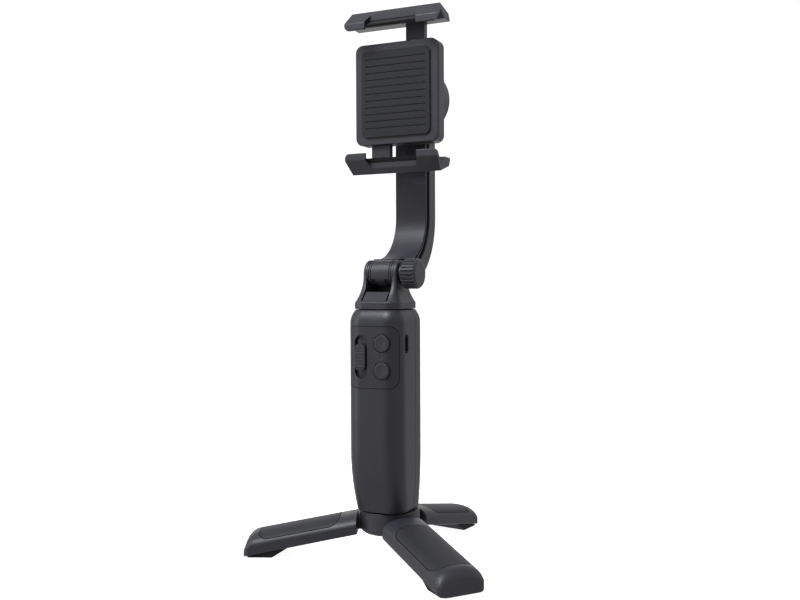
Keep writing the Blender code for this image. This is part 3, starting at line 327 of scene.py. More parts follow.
def evaluated_mesh(obj):
    """The mesh that an object's modifiers or its curve settings make."""
    bpy.context.view_layer.update()
    graph = bpy.context.evaluated_depsgraph_get()
    return bpy.data.meshes.new_from_object(obj.evaluated_get(graph))


def bake(obj):
    """Replaces an object's mesh by what its modifiers make of it."""
    mesh = evaluated_mesh(obj)
    obj.modifiers.clear()
    obj.data = mesh
    return obj


def combine(target, operation, others):
    for other in others:
        modifier = target.modifiers.new(operation, "BOOLEAN")
        modifier.operation = operation
        modifier.object = other
        bake(target)
        bpy.data.objects.remove(other, do_unlink=True)
    return target


def cut(target, *others):
    return combine(target, "DIFFERENCE", others)


def join(target, *others):
    return combine(target, "UNION", others)


def common(target, *others):
    return combine(target, "INTERSECT", others)


def bore(target, *cylinder_values):
    return cut(target, cylinder(*cylinder_values))


def copy(obj):
    return add("copy", obj.data.copy())


def moved(obj, matrix):
    obj.data.transform(matrix)
    return obj


def soften(obj, width, segments=3, angle=32):
    """Rounds the edges that are sharper than an angle."""
    bevel = obj.modifiers.new("Bevel", "BEVEL")
    bevel.width = width
    bevel.segments = segments
    bevel.limit_method = "ANGLE"
    bevel.angle_limit = math.radians(angle)
    bevel.miter_outer = "MITER_ARC"
    return bake(obj)


def finish(obj, name, body, slot, *nodes, material=None):
    obj.name = name
    obj.data.name = name
    obj.data.transform(Matrix.Translation(ORIGIN))
    obj.data.shade_smooth()
    obj.data.set_sharp_from_angle(angle=math.radians(38))
    weighted = obj.modifiers.new("Weighted normals", "WEIGHTED_NORMAL")
    weighted.keep_sharp = True
    weighted.weight = 60
    bake(obj)
    obj.data.materials.clear()
    obj.data.materials.append(MATERIALS[material or slot])
    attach(obj, body)
    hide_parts(*nodes)
    return obj


# ---------------------------------------------------------------- materials


def noise(nodes, links, coordinates, scale, detail=3.0, stretch=None):
    """A noise texture in the object's own metres, so that its grain has a real size."""
    if stretch:
        mapping = nodes.new("ShaderNodeMapping")
        mapping.inputs["Scale"].default_value = stretch
        links.new(coordinates, mapping.inputs["Vector"])
        coordinates = mapping.outputs["Vector"]
    texture = nodes.new("ShaderNodeTexNoise")
    texture.inputs["Scale"].default_value = scale
    texture.inputs["Detail"].default_value = detail
    links.new(coordinates, texture.inputs["Vector"])
    return texture.outputs["Fac"]


def remap(nodes, links, value, low, high):
    """A value that varies round a middle, mapped to run from low to high."""
    spread = nodes.new("ShaderNodeMapRange")
    for name, limit in (("From Min", 0.3), ("From Max", 0.7), ("To Min", low), ("To Max", high)):
        spread.inputs[name].default_value = limit
    links.new(value, spread.inputs["Value"])
    return spread.outputs["Result"]


def moulded(
    name, color, roughness, grain=0.30 * MM, depth=0.012 * MM, cloud=0.06, metallic=0.0, stretch=None
):
    """A material with a fine surface grain of a real size, and slow changes in colour and roughness."""
    material = bpy.data.materials.new(name)
    material.use_nodes = True
    nodes, links = material.node_tree.nodes, material.node_tree.links
    shader = nodes["Principled BSDF"]
    shader.inputs["Metallic"].default_value = metallic
    coordinates = nodes.new("ShaderNodeTexCoord").outputs["Object"]

    slow = noise(nodes, links, coordinates, 1 / (9 * MM), 2.0)
    tint = nodes.new("ShaderNodeMix")
    tint.data_type = "RGBA"
    tint.inputs["A"].default_value = (*[channel * (1 - cloud) for channel in color], 1)
    tint.inputs["B"].default_value = (*[channel * (1 + cloud) for channel in color], 1)
    links.new(remap(nodes, links, slow, 0, 1), tint.inputs["Factor"])
    links.new(tint.outputs["Result"], shader.inputs["Base Color"])

    fine = noise(nodes, links, coordinates, 1 / grain, 3.0, stretch)
    rough = remap(nodes, links, fine, roughness - 0.04, roughness + 0.04)
    links.new(rough, shader.inputs["Roughness"])
    bump = nodes.new("ShaderNodeBump")
    bump.inputs["Strength"].default_value = 1.0
    bump.inputs["Distance"].default_value = depth
    links.new(fine, bump.inputs["Height"])
    links.new(bump.outputs["Normal"], shader.inputs["Normal"])
    return material


def circuit(name):
    """Green solder mask over a grid of copper traces."""
    material = moulded(name, (0.02, 0.13, 0.06), 0.45)
    nodes, links = material.node_tree.nodes, material.node_tree.links
    shader = nodes["Principled BSDF"]
    coordinates = nodes["Texture Coordinate"].outputs["Object"]
    traces = nodes.new("ShaderNodeTexBrick")
    traces.inputs["Scale"].default_value = 1 / (6 * MM)
    traces.inputs["Mortar Size"].default_value = 0.06
    traces.inputs["Color1"].default_value = (0.015, 0.110, 0.050, 1)
    traces.inputs["Color2"].default_value = (0.020, 0.140, 0.065, 1)
    traces.inputs["Mortar"].default_value = (0.045, 0.230, 0.100, 1)
    turn = nodes.new("ShaderNodeMapping")
    turn.inputs["Rotation"].default_value = (math.radians(90), 0, 0)
    links.new(coordinates, turn.inputs["Vector"])
    links.new(turn.outputs["Vector"], traces.inputs["Vector"])
    links.new(traces.outputs["Color"], shader.inputs["Base Color"])
    return material


def winding(name):
    """Enamelled copper wire, wound in close turns."""
    material = moulded(name, (0.60, 0.27, 0.12), 0.35, metallic=1.0)
    nodes, links = material.node_tree.nodes, material.node_tree.links
    turns = nodes.new("ShaderNodeTexWave")
    turns.wave_type = "RINGS"
    turns.rings_direction = "Y"
    turns.inputs["Scale"].default_value = 1 / (1.6 * MM)
    turns.inputs["Distortion"].default_value = 0.6
    links.new(nodes["Texture Coordinate"].outputs["Object"], turns.inputs["Vector"])
    bump = nodes["Bump"]
    bump.inputs["Distance"].default_value = 0.08 * MM
    links.new(turns.outputs["Fac"], bump.inputs["Height"])
    return material


MATERIALS = {
    "handle_plastic": moulded("handle_plastic", (0.0235, 0.0235, 0.031), 0.40),
    "panel_plastic": moulded("panel_plastic", (0.019, 0.019, 0.026), 0.46, grain=0.22 * MM),
    "button_plastic": moulded("button_plastic", (0.022, 0.022, 0.029), 0.44, grain=0.20 * MM),
    "leg_plastic": moulded("leg_plastic", (0.027, 0.027, 0.035), 0.44),
    "soft_pad": moulded("soft_pad", (0.015, 0.015, 0.020), 0.62, grain=0.40 * MM, depth=0.03 * MM),
    "rubber": moulded("rubber", (0.010, 0.010, 0.012), 0.80, grain=0.50 * MM, depth=0.04 * MM),
    "arm_plastic": moulded("arm_plastic", (0.028, 0.028, 0.037), 0.42),
    "pinion_plastic": moulded("pinion_plastic", (0.60, 0.60, 0.56), 0.40, grain=0.60 * MM),
    "steel": moulded(
        "steel", (0.50, 0.50, 0.52), 0.28, 0.25 * MM, 0.003 * MM, 0.03, 1.0, stretch=(1, 1, 0.05)
    ),
    "black_steel": moulded("black_steel", (0.10, 0.10, 0.11), 0.40, metallic=1.0),
    "brass": moulded("brass", (0.70, 0.50, 0.24), 0.30, 0.30 * MM, 0.004 * MM, 0.05, metallic=1.0),
    "copper": winding("copper"),
    "board": circuit("board"),
    "battery_wrap": moulded("battery_wrap", (0.08, 0.13, 0.26), 0.32, grain=3.0 * MM, depth=0.05 * MM),
}


# ---------------------------------------------------------------- tripod


def leg_apex(u):
    """The height of the top of a leg's arch at a distance from the tripod's axis."""
    return LEG_TOP - LEG_SLOPE * (u - LEG_START)


def leg_underside(u):
    return leg_apex(u) - LEG_THICKNESS - 0.5 * MM * (u - LEG_START) / LEG_LENGTH


def leg_section(u, drop, narrow, lower=0.0):
    """One cross-section of a leg as points (u, v, z): flat sides and an arched top. drop takes the apex
    down, narrow takes the sides in, and lower moves the whole section down."""
    apex = leg_apex(u) - drop - lower
    under = leg_underside(u) - lower
    half = LEG_HALF_WIDTH - narrow
    shoulder = max(under + 1.5 * MM, apex - 6.0 * MM)
    rise = apex - shoulder
    edge = 1.2 * MM
    points = [(half - edge, under)]
    points += [(half - edge + a, under + edge + b) for a, b in arc((0, 0), edge, -math.pi / 2, -0.1, 5)]
    arch = 18
    for i in range(arch):
        turn = i * math.pi / 2 / arch
        points.append((half * math.cos(turn) ** 0.85, shoulder + rise * math.sin(turn)))
    mirrored = [(-v, z) for v, z in reversed(points)]
    return [(u, v, z) for v, z in points[1:] + [(0.0, apex)] + mirrored[:-1]]


def leg_solid(lower=0.0):
    """A leg's outer form: straight, then rounded over into the slanted face of its tip."""
    stations = [(LEG_START, 0.5 * MM, 0.5 * MM)]
    stations += [(LEG_START + 0.5 * MM, 0.0, 0.0), (LEG_END - 0.5 * LEG_LENGTH, 0.0, 0.0)]
    deepest = LEG_THICKNESS - 1.2 * MM
    reach = (deepest - TIP_RADIUS * (1 - math.cos(TIP_ANGLE))) / math.tan(TIP_ANGLE)
    ridge = LEG_END - reach - TIP_RADIUS * math.sin(TIP_ANGLE)
    steps = 16
    for i in range(steps + 1):
        turn = i * TIP_ANGLE / steps
        drop = TIP_RADIUS * (1 - math.cos(turn))
        stations.append((ridge + TIP_RADIUS * math.sin(turn), drop, 0.0))
    stations.append((LEG_END, deepest, 0.0))
    return loft([leg_section(u, drop, narrow, lower) for u, drop, narrow in stations])


def make_leg_shapes():
    """A leg, its inlay pad and its foot in the leg's own coordinates: u outwards, v across, z up."""
    low = (LEG_START + 9.5 * MM, -11.0 * MM)
    high = (LEG_END - 8.0 * MM, 11.0 * MM)
    floor = LEG_THICKNESS / 3
    pad_outline = rounded_rectangle(low, high, 5.0 * MM)
    groove = 0.35 * MM
    recess_outline = rounded_rectangle(
        (low[0] - groove, low[1] - groove), (high[0] + groove, high[1] + groove), 5.0 * MM + groove
    )
    leg = leg_solid()
    reach = LEG_HALF_WIDTH + 0.5 * MM
    plan = rounded_rectangle((0, -reach), (LEG_END - 0.02 * MM, reach), TIP_CORNER, 16)
    common(leg, prism(plan, "Z", -5 * MM, 40 * MM))
    cut(leg, cut(prism(recess_outline, "Z", floor, 30 * MM), leg_solid(lower=1.5 * MM)))
    lug = arc(LEG_PIVOT, LUG_RADIUS, math.radians(65), math.radians(295), 24)
    lug += [(LEG_START + MM, LEG_PIVOT[1] - 2.9 * MM), (LEG_START + MM, LEG_PIVOT[1] + 3.2 * MM)]
    join(leg, prism(lug, "Y", -LUG_HALF_WIDTH, LUG_HALF_WIDTH))
    bore(leg, 1.5 * MM, "Y", LEG_PIVOT, -5 * MM, 5 * MM, 32)
    soften(leg, 0.22 * MM, 2)

    pad = common(prism(pad_outline, "Z", floor, 30 * MM), leg_solid())
    cut(pad, leg_solid(lower=1.2 * MM))
    soften(pad, 0.25 * MM, 2)

    heel = LEG_END - 23.0 * MM
    toe = LEG_END - 2.2 * MM
    side = [
        (heel, leg_underside(heel) - GAP),
        (heel + 8.0 * MM, 0.0),
        (toe - 0.6 * MM, 0.0),
        (toe, leg_underside(toe) - GAP),
    ]
    foot = prism(side, "Y", -10.4 * MM, 10.4 * MM)
    for i in range(4):
        start, end = heel + (9.5 + 3.0 * i) * MM, heel + (10.3 + 3.0 * i) * MM
        cut(foot, block((start, -8.5 * MM, -MM), (end, 8.5 * MM, 0.4 * MM)))
    soften(foot, 0.3 * MM, 2)
    return leg, pad, foot


def make_tripod():
    washer_radius = 11.0 * MM
    fillet = arc((HUB_RADIUS - HUB_FILLET, HUB_BOTTOM + HUB_FILLET), HUB_FILLET, -math.pi / 2, 0, 14)
    rim = arc((HUB_RADIUS - 0.6 * MM, HUB_TOP - 0.6 * MM), 0.6 * MM, 0, math.pi / 2, 5)
    stud_radius = 3.175 * MM
    hub = turned(
        [(0, HUB_BOTTOM), (6.0 * MM, HUB_BOTTOM), (6.0 * MM, HUB_BOTTOM + 0.4 * MM)]
        + [(6.6 * MM, HUB_BOTTOM + 0.4 * MM), (6.6 * MM, HUB_BOTTOM)]
        + fillet
        + rim
        + [
            (washer_radius + 0.4 * MM, HUB_TOP),
            (washer_radius + 0.4 * MM, HUB_TOP - 1.3 * MM),
            (stud_radius + GAP, HUB_TOP - 1.3 * MM),
            (stud_radius + GAP, HUB_BOTTOM + 2.2 * MM),
            (0, HUB_BOTTOM + 2.2 * MM),
        ],
        "Z",
        (0, 0),
        steps=144,
    )
    turns = [Matrix.Rotation(LEG_AZIMUTH + i * 2 * math.pi / 3, 4, "Z") for i in range(3)]
    slot_start = LEG_PIVOT[0] - LUG_RADIUS - GAP
    slot_half = LUG_HALF_WIDTH + GAP
    slot_top = LEG_PIVOT[1] + LUG_RADIUS + GAP
    for turn in turns:
        slot = block((slot_start, -slot_half, 5 * MM), (25 * MM, slot_half, slot_top))
        cut(hub, moved(slot, turn))
    soften(hub, 0.2 * MM, 2)
    finish(hub, "hub", "tripod_base", "leg_plastic", "tripod_hub")

    leg, pad, foot = make_leg_shapes()
    for i, turn in enumerate(turns, start=1):
        pin = moved(cylinder(1.2 * MM, "Y", LEG_PIVOT, -6.5 * MM, 6.5 * MM, 32), turn)
        finish(pin, f"hinge_pin_{i}", "tripod_base", "steel", f"leg_pin_{i}")
        body = f"tripod_leg_{i}"
        finish(moved(copy(leg), turn), f"tripod_leg_shell_{i}", body, "leg_plastic", f"leg_{i}")
        finish(moved(copy(pad), turn), f"inlay_pad_{i}", body, "soft_pad", f"leg_pad_{i}")
        finish(moved(copy(foot), turn), f"rubber_foot_{i}", body, "rubber", f"leg_foot_{i}")
    for template in (leg, pad, foot):
        bpy.data.objects.remove(template, do_unlink=True)

    section = rounded_rectangle((4.5 * MM, HUB_TOP - MM), (washer_radius, HUB_TOP + GAP), 0.25 * MM, 3)
    finish(turned(section, "Z", (0, 0)), "friction_ring", "tripod_base", "rubber", "hub_washer")
    make_stud(stud_radius)


def make_stud(radius):
    """The tripod's 1/4 inch stud, with the form of its 20-per-inch thread."""
    pitch = 25.4 / 20 * MM
    bottom = HUB_BOTTOM + 2.5 * MM
    top = HUB_TOP + 9.5 * MM
    profile = [(0, bottom), (radius - 0.3 * MM, bottom)]
    z = HUB_TOP + 0.6 * MM
    while z + pitch < top - 0.8 * MM:
        for share, depth in ((0.1, 0), (0.5, 0.6 * MM), (0.9, 0)):
            profile.append((radius - depth, z + share * pitch))
        z += pitch
    profile += [(radius - 0.2 * MM, top - MM), (radius - MM, top), (0, top)]
    finish(turned(profile, "Z", (0, 0), 48), "threaded_stud", "tripod_base", "steel", "tripod_stud")


# ---------------------------------------------------------------- handle


def handle_ring(z, inset=0.0):
    """The handle's cross-section at a height: a rounded rectangle, which tapers towards the bottom, most
    of all on its front, and curves in at the shoulder."""
    taper = max(0.0, (HANDLE_TAPER_TOP - z) / (HANDLE_TAPER_TOP - HANDLE_BOTTOM)) ** 2
    rise = z - (HANDLE_TOP - SHOULDER_HEIGHT)
    if rise > 0:
        inset += SHOULDER_RADIUS - math.sqrt(SHOULDER_RADIUS**2 - rise**2)
    half_width = HANDLE_HALF_WIDTH - 1.3 * MM * taper - inset
    front = HANDLE_Y - HANDLE_HALF_DEPTH + 5.0 * MM * taper + inset
    back = HANDLE_Y + HANDLE_HALF_DEPTH - 0.3 * MM * taper - inset
    corner = HANDLE_CORNER - inset
    outline = rounded_rectangle((-half_width, front), (half_width, back), corner, 16)
    return [(x, y, z) for x, y in outline]


def handle_solid(low, high, inset=0.0, edge=0.0):
    """The handle between two heights. edge rounds its bottom rim and breaks its top one."""
    heights = [HANDLE_BOTTOM + i * 2.25 * MM for i in range(1, 15)]
    heights += [HANDLE_TOP - SHOULDER_HEIGHT * (1 - i / 12) for i in range(12)]
    rings = [handle_ring(z, inset) for z in heights if low + edge < z < high - edge]
    for i in range(5):
        turn = i * math.pi / 8
        off, up = edge * (1 - math.sin(turn)), edge * (1 - math.cos(turn))
        if edge or not i:
            rings.insert(i, handle_ring(low + up, inset + off))
    if edge:
        rings.append(handle_ring(high - edge / 3, inset))
    rings.append(handle_ring(high, inset + edge / 3))
    return loft(rings)


def handle_core(inset):
    """The straight middle of the handle, drawn inset by some depth."""
    low, high = PANEL_LOW.z - 5 * MM, PANEL_HIGH.z + 1.2 * MM
    return loft([handle_ring(z, inset) for z in (low, high)])


def make_handle():
    whole = handle_solid(HANDLE_BOTTOM, HANDLE_TOP, edge=0.7 * MM)
    cut(whole, handle_solid(HANDLE_BOTTOM + WALL, HANDLE_TOP - WALL + 0.3 * MM, WALL))
    guide_radius = 7.2 * MM
    bore(whole, guide_radius + GAP, "Z", (0, 0), HANDLE_TOP - 2 * WALL, HANDLE_TOP + WALL)
    bore(whole, 5.4 * MM, "Z", (0, 0), HANDLE_BOTTOM - WALL, HANDLE_BOTTOM + 2 * WALL)
    reach = 40 * MM
    seam = block((-reach, SEAM_Y - 0.12 * MM, 0), (reach, SEAM_Y + 0.12 * MM, 0.2))
    cut(whole, cut(seam, handle_solid(HANDLE_BOTTOM - MM, HANDLE_TOP - 0.2 * MM, 0.35 * MM)))
    back = common(copy(whole), block((-reach, SEAM_Y + 0.01 * MM, 0), (reach, reach, 0.2)))
    front = common(whole, block((-reach, -reach, 0), (reach, SEAM_Y - 0.01 * MM, 0.2)))

    half_width = PANEL_HIGH.x
    window = ((-half_width, PANEL_LOW.z), (half_width, PANEL_HIGH.z))
    recess = ((-half_width - GROOVE, PANEL_LOW.z - GROOVE), (half_width + GROOVE, PANEL_HIGH.z + GROOVE))
    corner = 4.0 * MM
    panel = prism(rounded_rectangle(*window, corner), "Y", FACE_Y - 9 * MM, FACE_Y + 6.5 * MM)
    cut(panel, handle_core(PANEL_THICKNESS))
    panel = common(panel, handle_core(0.0))
    cutter = prism(rounded_rectangle(*recess, corner + GROOVE), "Y", FACE_Y - 9 * MM, FACE_Y + 7 * MM)
    cut(front, cut(cutter, handle_core(PANEL_THICKNESS + GAP)))

    through = (FACE_Y - 9 * MM, FACE_Y + 6 * MM)
    for z in (SHUTTER_Z, MODE_Z):
        at = (BUTTON_X, z)
        bore(panel, BUTTON_RADIUS + GAP, "Y", at, *through, 64)
        bore(front, 1.9 * MM, "Y", at, *through, 24)
    rocker_at = (ROCKER_X, ROCKER_Z)
    cut(panel, prism(stadium(rocker_at, 3.5 * MM, 10.7 * MM), "Y", *through))
    cut(front, prism(stadium(rocker_at, 1.7 * MM, 6.2 * MM), "Y", *through))
    lamp_at = (BUTTON_X, (SHUTTER_Z + MODE_Z) / 2)
    dimple = arc((0, FACE_Y - 2.9 * MM), 3.1 * MM, math.pi / 2, 0, 12)
    cut(panel, turned(dimple + [(0, FACE_Y - 2.9 * MM)], "Y", lamp_at, 48))
    mouth = []
    side = HANDLE_HALF_WIDTH
    for x, spread in ((10 * MM, 0), (side - 0.3 * MM, 0), (side + MM, 1.3 * MM)):
        outline = stadium((USB_Y, USB_Z), 2.0 * MM + spread, 4.65 * MM + spread)
        mouth.append([(x, y, z) for y, z in outline])
    cut(front, loft(mouth))

    soften(front, 0.12 * MM, 2, 40)
    soften(back, 0.12 * MM, 2, 40)
    soften(panel, 0.18 * MM, 2, 40)
    finish(front, "handle_front", "handle", "handle_plastic", "handle_front_shell")
    finish(back, "handle_back", "handle", "handle_plastic", "handle_back_shell")
    finish(panel, "button_panel", "handle", "panel_plastic", "control_panel")
    make_usb_inlet()
    make_buttons()


def make_usb_inlet():
    half_width, half_height = (USB_HIGH.y - USB_LOW.y) / 2, (USB_HIGH.z - USB_LOW.z) / 2
    at = (USB_Y, USB_Z)
    mouth = USB_HIGH.x
    shell = prism(stadium(at, half_width, half_height), "X", USB_LOW.x, mouth)
    rim = 0.35 * MM
    inside = stadium(at, half_width - rim, half_height - rim)
    cut(shell, prism(inside, "X", mouth - 5.8 * MM, mouth + MM))
    soften(shell, 0.08 * MM, 2, 40)
    tongue = block(
        (mouth - 6.4 * MM, USB_Y - rim, USB_Z - 3.3 * MM),
        (mouth - 1.2 * MM, USB_Y + rim, USB_Z + 3.3 * MM),
    )
    finish(join(shell, tongue), "usb_c_inlet", "handle", "steel", "usb_c_socket")


def make_buttons():
    plate_back = FACE_Y + PANEL_THICKNESS - 0.1 * MM
    edge = 0.3 * MM
    crown = FACE_Y - 0.35 * MM
    for key, z in (("shutter", SHUTTER_Z), ("mode", MODE_Z)):
        rim = arc((BUTTON_RADIUS - edge, crown + 0.1 * MM + edge), edge, -math.pi / 2, 0, 5)
        dish = [(0, crown + 0.22 * MM), (1.4 * MM, crown + 0.20 * MM), (2.6 * MM, crown + 0.1 * MM)]
        stem = [
            (BUTTON_RADIUS, plate_back - 0.6 * MM),
            (1.5 * MM, plate_back - 0.6 * MM),
            (1.5 * MM, FACE_Y + 3.4 * MM),
            (0, FACE_Y + 3.4 * MM),
        ]
        cap = turned(dish + [(3.4 * MM, crown + 0.02 * MM)] + rim + stem, "Y", (BUTTON_X, z), 64)
        finish(cap, f"{key}_button_cap", f"{key}_key", "button_plastic", f"{key}_button")

    half_width = (ROCKER_HIGH.x - ROCKER_LOW.x) / 2
    half_height = (ROCKER_HIGH.z - ROCKER_LOW.z) / 2
    low = (ROCKER_X - half_width, ROCKER_Z - half_height)
    high = (ROCKER_X + half_width, ROCKER_Z + half_height)
    rocker = prism(rounded_rectangle(low, high, 2.4 * MM), "Y", FACE_Y - 2 * MM, plate_back)
    ribs, pitch = 7, 1.6 * MM
    top, root = FACE_Y - 1.0 * MM, FACE_Y - 0.87 * MM
    face = [(plate_back + MM, low[1] - MM), (root, low[1] - MM)]
    for i in range(ribs):
        z = ROCKER_Z + (i - (ribs - 1) / 2) * pitch
        for depth, share in ((root, -0.48), (top, -0.25), (top, 0.25), (root, 0.48)):
            face.append((depth, z + share * pitch))
    face += [(root, high[1] + MM), (plate_back + MM, high[1] + MM)]
    common(rocker, prism(face, "X", ROCKER_X - 5 * MM, ROCKER_X + 5 * MM))
    soften(rocker, 0.1 * MM, 2, 25)
    stem = block(
        (ROCKER_X - 1.2 * MM, FACE_Y + MM, ROCKER_Z - 2.2 * MM),
        (ROCKER_X + 1.2 * MM, FACE_Y + 3.4 * MM, ROCKER_Z + 2.2 * MM),
    )
    finish(join(rocker, stem), "zoom_rocker_cap", "zoom_key", "button_plastic", "zoom_rocker")


# ---------------------------------------------------------------- telescopic rod


def tube(outer, inner, lip, bottom, top, foot=0.0):
    """A rod section: a thin tube with a wider foot, and a narrower lip at its mouth."""
    edge = 0.15 * MM
    profile = [(outer - edge, top), (outer, top - edge)]
    if foot:
        profile += [(outer, bottom + 3.0 * MM), (outer + foot, bottom + 3.0 * MM)]
    profile += [(outer + foot, bottom), (inner, bottom), (inner, top - 2.0 * MM)]
    profile += [(lip, top - 2.0 * MM), (lip, top - edge), (lip + edge, top)]
    return turned(profile, "Z", (0, 0))


def make_rods():
    wall = 0.6 * MM
    low, high = span("rod_guide_tube")
    guide = tube(high.x, high.x - wall, high.x - wall - 0.01 * MM, low.z, high.z)
    finish(guide, "guide_tube", "handle", "steel", "rod_guide_tube")
    for i, body in enumerate(("rod_1", "rod_2", "rod_head"), start=1):
        low, high = span(f"rod_section_{i}")
        outer = high.x - GAP
        inner = outer - wall - GAP / 3
        section = tube(outer, inner, inner - GAP, low.z, high.z, GAP)
        finish(section, f"rod_tube_{i}", body, "steel", f"rod_section_{i}")


# ---------------------------------------------------------------- tilt hinge


def base_ring(z, half_width, half_depth, radius):
    low, high = (-half_width, HINGE_Y - half_depth), (half_width, HINGE_Y + half_depth)
    return [(x, y, z) for x, y in rounded_rectangle(low, high, radius, 12)]


def ear_disc():
    """Both ears' round top as one turned drum with rounded rims, along the hinge's axis."""
    middle = (EAR_RADIUS - EAR_ROUNDING, EAR_OUTER - EAR_ROUNDING)
    right = arc(middle, EAR_ROUNDING, 0, math.pi / 2, 6)
    left = [(radius, -x) for radius, x in reversed(right)]
    return turned([(0, -EAR_OUTER)] + left + right + [(0, EAR_OUTER)], "X", HINGE)


def make_hinge_base():
    """The collar on top of the rod, flaring up into the two ears of the tilt hinge."""
    flare = HINGE_Z - COLLAR_TOP
    width, depth = COLLAR_HALF_WIDTH, COLLAR_HALF_DEPTH
    edge = 0.3 * MM
    rings = [
        base_ring(COLLAR_BOTTOM, width - edge, depth - edge, 6.7 * MM),
        base_ring(COLLAR_BOTTOM + 0.4 * edge, width - 0.1 * edge, depth - 0.1 * edge, 6.97 * MM),
        base_ring(COLLAR_BOTTOM + edge, width, depth, 7.0 * MM),
        base_ring(COLLAR_TOP - 2 * edge, width, depth, 7.0 * MM),
        base_ring(COLLAR_TOP - 1.2 * edge, width - 0.1 * edge, depth - 0.1 * edge, 6.97 * MM),
    ]
    steps = 28
    for i in range(steps + 1):
        share = i / steps
        ease = (1 - share) ** 2.6
        half_width = EAR_OUTER + (width - EAR_OUTER - 0.7 * edge) * ease
        half_depth = EAR_RADIUS + (depth - EAR_RADIUS - 0.7 * edge) * (1 - share) ** 2.2
        half_depth -= 0.01 * MM * share
        corner = EAR_ROUNDING + (6.8 * MM - EAR_ROUNDING) * ease
        z = COLLAR_TOP - 0.5 * edge + share * flare
        rings.append(base_ring(z, half_width, half_depth, corner))
    base = loft(rings)
    join(base, ear_disc())
    slot_floor = COLLAR_TOP + 3.9 * MM
    sill = HINGE_Y + 4.0 * MM
    cut(base, block((-EAR_INNER, -40 * MM, slot_floor), (EAR_INNER, sill, 160 * MM)))
    cut(base, block((-EAR_INNER, sill - MM, HINGE_Z - BARREL_RADIUS), (EAR_INNER, 40 * MM, 160 * MM)))
    ledge_back = HINGE_Y - EAR_RADIUS - 0.2 * MM
    cut(base, block((-EAR_INNER, -40 * MM, COLLAR_TOP + 0.5 * MM), (EAR_INNER, ledge_back, 160 * MM)))
    soften(base, 0.3 * MM, 3, 50)
    bore(base, BOLT_HOLE, "X", HINGE, -20 * MM, 20 * MM, 48)
    bore(base, 4.0 * MM, "X", HINGE, -20 * MM, -EAR_OUTER + 1.3 * MM, 64)
    rod_radius = span("rod_section_3")[1].x - GAP
    bore(base, rod_radius + GAP, "Z", (0, 0), 100 * MM, COLLAR_TOP + 2.4 * MM)
    finish(base, "hinge_clevis", "rod_head", "arm_plastic", "hinge_base")

    low = COLLAR_TOP + 0.6 * MM
    ledge_top = COLLAR_TOP + 5.0 * MM
    front_end = ledge_back - GAP
    side = [
        (HINGE_Y - 13.6 * MM, low),
        (front_end, low),
        (front_end, ledge_top),
        (front_end - 1.4 * MM, ledge_top),
    ]
    cover = prism(side, "X", -EAR_INNER + 0.7 * MM, EAR_INNER - 0.7 * MM)
    soften(cover, 0.25 * MM)
    finish(cover, "hinge_ledge", "rod_head", "arm_plastic", "hinge_front_cover")


def make_hinge_hardware():
    head, shank, hexagon = 3.6 * MM, 2.0 * MM, 1.5 * MM
    left = BOLT_LOW.x
    rim = 0.3 * MM
    seat = left + 1.1 * MM
    profile = [(0, left), (head - rim, left), (head, left + rim), (head, seat), (shank, seat)]
    profile += [(shank, BOLT_HIGH.x), (0, BOLT_HIGH.x)]
    bolt = turned(profile, "X", HINGE, 64)
    cut(bolt, prism(arc(HINGE, hexagon, 0, 2 * math.pi, 6)[:-1], "X", left - MM, left + 0.8 * MM))
    finish(bolt, "hinge_screw", "rod_head", "steel", "hinge_bolt")
    inner, outer = WASHER_LOW.x, WASHER_HIGH.x
    for name, low, high in (("left", -outer, -inner), ("right", inner, outer)):
        outline = rounded_rectangle((BOLT_HOLE, low), (PLATE_RADIUS - 0.1 * MM, high), 0.1 * MM, 2)
        finish(
            turned(outline, "X", HINGE),
            f"hinge_washer_{name}",
            "rod_head",
            "steel",
            f"friction_washer_{name}",
            material="black_steel",
        )


def knob_ring(x, radius, rib_height, flat=0.30):
    """The knob's cross-section: round, with ribs whose flanks rise and fall smoothly."""
    points = []
    per_rib = 10
    for i in range(KNOB_RIBS * per_rib):
        phase = math.cos(2 * math.pi * i / per_rib)
        rib = max(-1.0, min(1.0, phase / flat / 2 + 0.35))
        reach = radius - rib_height * (0.5 - rib / 2)
        angle = 2 * math.pi * i / (KNOB_RIBS * per_rib)
        points.append((x, HINGE_Y + reach * math.cos(angle), HINGE_Z + reach * math.sin(angle)))
    return points


def make_knob():
    rib = 0.75 * MM
    rings = [
        knob_ring(KNOB_START, KNOB_RADIUS - 0.9 * MM, 0.1 * MM),
        knob_ring(KNOB_START + 0.15 * MM, KNOB_RADIUS - 0.35 * MM, 0.5 * rib),
        knob_ring(KNOB_START + 0.5 * MM, KNOB_RADIUS, rib),
        knob_ring(KNOB_END - 1.25 * MM, KNOB_RADIUS, rib),
        knob_ring(KNOB_END - 1.0 * MM, KNOB_RADIUS - 0.25 * MM, 0.5 * rib),
        knob_ring(KNOB_END - 0.85 * MM, KNOB_RADIUS - 0.5 * MM, 0.0),
        knob_ring(KNOB_END - 0.35 * MM, KNOB_RADIUS - 0.75 * MM, 0.0),
        knob_ring(KNOB_END - 0.1 * MM, KNOB_RADIUS - 1.1 * MM, 0.0),
        knob_ring(KNOB_END, KNOB_RADIUS - 1.8 * MM, 0.0),
        knob_ring(KNOB_END, KNOB_RADIUS - 3.0 * MM, 0.0),
    ]
    knob = loft(rings)
    join(knob, cylinder(5.0 * MM, "X", HINGE, EAR_OUTER + 0.4 * MM, KNOB_START + MM, 64))
    bore(knob, BOLT_HOLE, "X", HINGE, 0, KNOB_END - 2.8 * MM, 48)
    finish(knob, "ribbed_knob", "knob", "arm_plastic", "tilt_knob")


# ---------------------------------------------------------------- arm and roll motor


